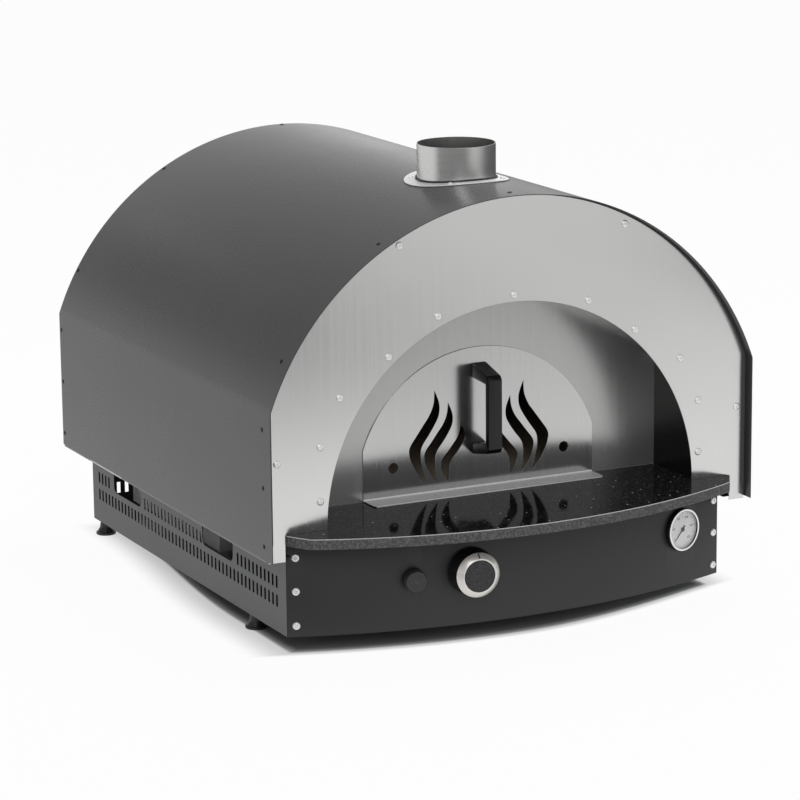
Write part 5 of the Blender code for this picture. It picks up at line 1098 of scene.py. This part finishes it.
# Handle: a bow of cast bar with slightly rounded edges, lacquered gloss black and fixed through the
# door from behind.
lacquer = Finish("handle_lacquer", (0.004, 0.004, 0.005), 0.16, Coat_Weight=0.3, Coat_Roughness=0.06, IOR=1.3)
lacquer.wear(0.14, 0.10, 140, 3.0)
lacquer.relief(lacquer.noise(260), 0.0002, 0.3)
eased_copy("door_pull_bow", "door_handle", 0.0008, lacquer, "door")

# Burner knob: a deep moulded body with a satin chromed ring round a plain speckled cap, pushed onto
# the tap's flatted spindle. The ring's front land is polished and carries a painted highlight, and a black
# tick on it shows the setting.
gloss_black = Finish("knob_black", 0.010, 0.24)
gloss_black.wear(0.20, 0.10, 300)
gloss_black.relief(gloss_black.noise(1200), 0.00005, 0.3)
FACE, CAP_RADIUS = 0.0390, 0.0296
body = [(0, 0.0203), (0.0043, 0.0203), (0.0043, 0.0055), (0.0437, 0.0055), (0.0444, 0.0066)]
body += [(0.0422, FACE - 0.0013), (0.0416, FACE - 0.0004), (CAP_RADIUS, FACE - 0.0004)]
body += [(CAP_RADIUS, FACE), (0, FACE)]
settle("knob_body", turned(body, place=KNOB), gloss_black, "knob_skirt", "gas_knob")
chrome = Finish("bright_chrome", (0.86, 0.83, 0.79), 0.28, 0.55)
# Painted highlight: the ring's front land is painted near-white
land = chrome.facing(KNOB.col[2].xyz).smooth(0.80, 0.95)
satin = chrome.mix(chrome.noise(160, detail=3.0), (0.86, 0.82, 0.77), (0.78, 0.75, 0.71))
chrome.tint(land, satin, (0.97, 0.97, 0.96))
chrome.feed("Metallic", 0.55 - 0.35 * land)
chrome.feed("Roughness", 0.26 + 0.10 * chrome.noise(60, detail=4.0) - 0.14 * land)
rim = [(0.0299, FACE), (0.0420, FACE), (0.0420, FACE + 0.0008), (0.0417, FACE + 0.0013)]
rim += [(0.0324, FACE + 0.0097), (0.0319, FACE + 0.0100), (0.0304, FACE + 0.0100), (0.0299, FACE + 0.0095)]
settle("knob_rim", turned(rim, place=KNOB), chrome, "knob_ring", "gas_knob")
cap_black = Finish("knob_cap_black", (0.012, 0.012, 0.013), 0.30)
speckle = cap_black.noise(420, detail=4.0).smooth(0.40, 0.66)
cap_black.tint(speckle, (0.004, 0.004, 0.005), (0.040, 0.038, 0.044))
cap_black.wear(0.34, 0.14, 700)
cap = [(0, FACE + GAP), (CAP_RADIUS, FACE + GAP), (CAP_RADIUS, FACE + 0.0084)]
cap += [(CAP_RADIUS - 0.0006, FACE + 0.0090), (0, FACE + 0.0091)]
settle("knob_centre", turned(cap, place=KNOB), cap_black, "knob_cap", "gas_knob")
tick = prism([(0.0330, 0.0475), (0.0412, 0.0400), (0.0413, 0.0407), (0.0331, 0.0482)], -0.0011, 0.0011, "x")
settle("knob_tick", moved(tick, KNOB), gloss_black, body="gas_knob")
dress(bright_steel, "valve_spindle")

# Igniter: a moulded push button in a black collar, with three grip rings on its face. The spark unit
# sits behind the panel.
collar = [(0.0093, GAP), (0.0205, GAP), (0.0214, 0.0012), (0.0214, 0.0177), (0.0208, 0.0185)]
collar += [(0.01955, 0.0185), (0.01955, 0.0023), (0.0093, 0.0023)]
settle("button_collar", turned(collar, place=BUTTON), black_plastic, "igniter_collar")
grey_plastic = Finish("button_grey", (0.040, 0.040, 0.041), 0.38)
grey_plastic.wear(0.34, 0.12, 300)
grey_plastic.relief(grey_plastic.noise(1300), 0.00006, 0.4)
SEAT, CROWN, STEM, GROOVE = 0.0080, 0.0240, 0.015, 0.0006
STEM_RADIUS, BUTTON_RADIUS = 0.006, 0.01925
button = [(0, SEAT - STEM), (STEM_RADIUS, SEAT - STEM), (STEM_RADIUS, SEAT), (BUTTON_RADIUS, SEAT)]
button += [(BUTTON_RADIUS, CROWN - 0.0012), (0.0186, CROWN - 0.0002), (0.0176, CROWN)]
for radius in (0.0150, 0.0105, 0.0060):
    button += [(radius + 2 * GROOVE, CROWN), (radius + GROOVE, CROWN - GROOVE)]
    button += [(radius - GROOVE, CROWN - GROOVE), (radius - 2 * GROOVE, CROWN)]
button += [(0, CROWN)]
shape = turned(button, place=BUTTON)
settle("button_cap", shape, grey_plastic, "igniter_button", "spark_button")

# Thermometer: a steel case let into the panel, with a rolled bezel that is painted black at its side as a
# painted reflection and near-white at its lip as a painted highlight, a printed dial of 0 to 500 degrees, a
# black hand and a flat glass.
bezel = [(0.0395, GAP), (0.0413, GAP), (0.0415, 0.0010), (0.0415, 0.0078), (0.0411, 0.0090)]
bezel += [(0.0402, 0.0098), (0.0390, 0.0100), (0.0378, 0.0100), (0.0368, 0.0096)]
bezel += [(0.0365, 0.0088), (0.0365, 0.0085), (0.0395, 0.0085)]
polished = Finish("bezel_steel", (0.70, 0.70, 0.69), 0.14, 1.0)
polished.wear(0.10, 0.12, 80, 4.0)
# Painted highlight on the bezel's lip and painted dark reflection on its side
lip = polished.facing(DIAL.col[2].xyz).smooth(0.62, 0.86)
polished.tint(lip, (0.010, 0.010, 0.011), (0.97, 0.97, 0.96))
polished.feed("Metallic", 0.6 * lip)
settle("dial_bezel", turned(bezel, place=DIAL), polished, "thermometer_bezel")
card = Finish("dial_card", (0.99, 0.99, 0.98), 0.45)
card.wear(0.40, 0.15, 500)
dress(card, "thermometer_dial")
ink = Finish("dial_ink", (0.015, 0.015, 0.016), 0.5)
ink.wear(0.45, 0.1, 900)
PRINT_FACE = 0.00382
SCALE_START, SCALE_TURN, MARKS_PER_NUMBER, NUMBERS = 225, 270, 10, 6
ticks = Recipe("dial_ticks")
tick_radius, tick_turn, tick_start = (ticks.size(name) for name in ("Radius", "Turn", "Start"))
tick_count = ticks.size("Marks", "Int")
tick_ink = ticks.size("Ink", "Material")
number = ticks.term("GeometryNodeInputIndex")
swing = number.math("MULTIPLY_ADD", tick_turn, tick_start)
longer = number.math("MODULO", MARKS_PER_NUMBER / 2).math("LESS_THAN", 0.5)
length = 0.0018 + 0.0022 * longer
middle = tick_radius - length * 0.5
where = ticks.point(middle * swing.math("COSINE"), middle * swing.math("SINE"))
line = ticks.term("GeometryNodeMeshLine", {"Count": tick_count})
spread = ticks.term("GeometryNodeSetPosition", {0: line, 2: where})
bar = ticks.term("GeometryNodeMeshCube", {0: (1, 1, 1)})
values = {"Points": spread, "Instance": bar, "Rotation": ticks.point(0.0, 0.0, swing)}
values["Scale"] = ticks.point(length, 0.00035 + 0.00030 * longer, 0.00008)
ticks.end(ticks.term("GeometryNodeInstanceOnPoints", values), tick_ink)
marks = MARKS_PER_NUMBER * (NUMBERS - 1)
sizes = {"Radius": 0.0350, "Marks": marks + 1, "Turn": -radians(SCALE_TURN / marks)}
sizes.update(Start=radians(SCALE_START), Ink=ink.material)
printed = [ticks.make("dial_ticks", bpy.data.meshes.new("seed"), **sizes)]
printed[0].transform(DIAL @ Matrix.Translation((0, 0, PRINT_FACE)))
for k in range(NUMBERS):
    turn = radians(SCALE_START - SCALE_TURN / (NUMBERS - 1) * k)
    letters = bpy.data.curves.new("figure", "FONT")
    letters.body, letters.size, letters.extrude = str(100 * k), 0.0062, 0.00004
    letters.align_x, letters.align_y = "CENTER", "CENTER"
    figure = plain_mesh(linked("figure", letters))
    figure.transform(DIAL @ Matrix.Translation((0.0248 * cos(turn), 0.0248 * sin(turn), PRINT_FACE)))
    printed.append(figure)
settle("dial_print", together(*printed), ink)
dress(ink, "thermometer_needle")
glass = Finish("dial_glass", (0.95, 0.97, 0.97), 0.03, Alpha=0.05)
glass.wear(0.02, 0.03, 120)
dress(glass, "thermometer_glass")
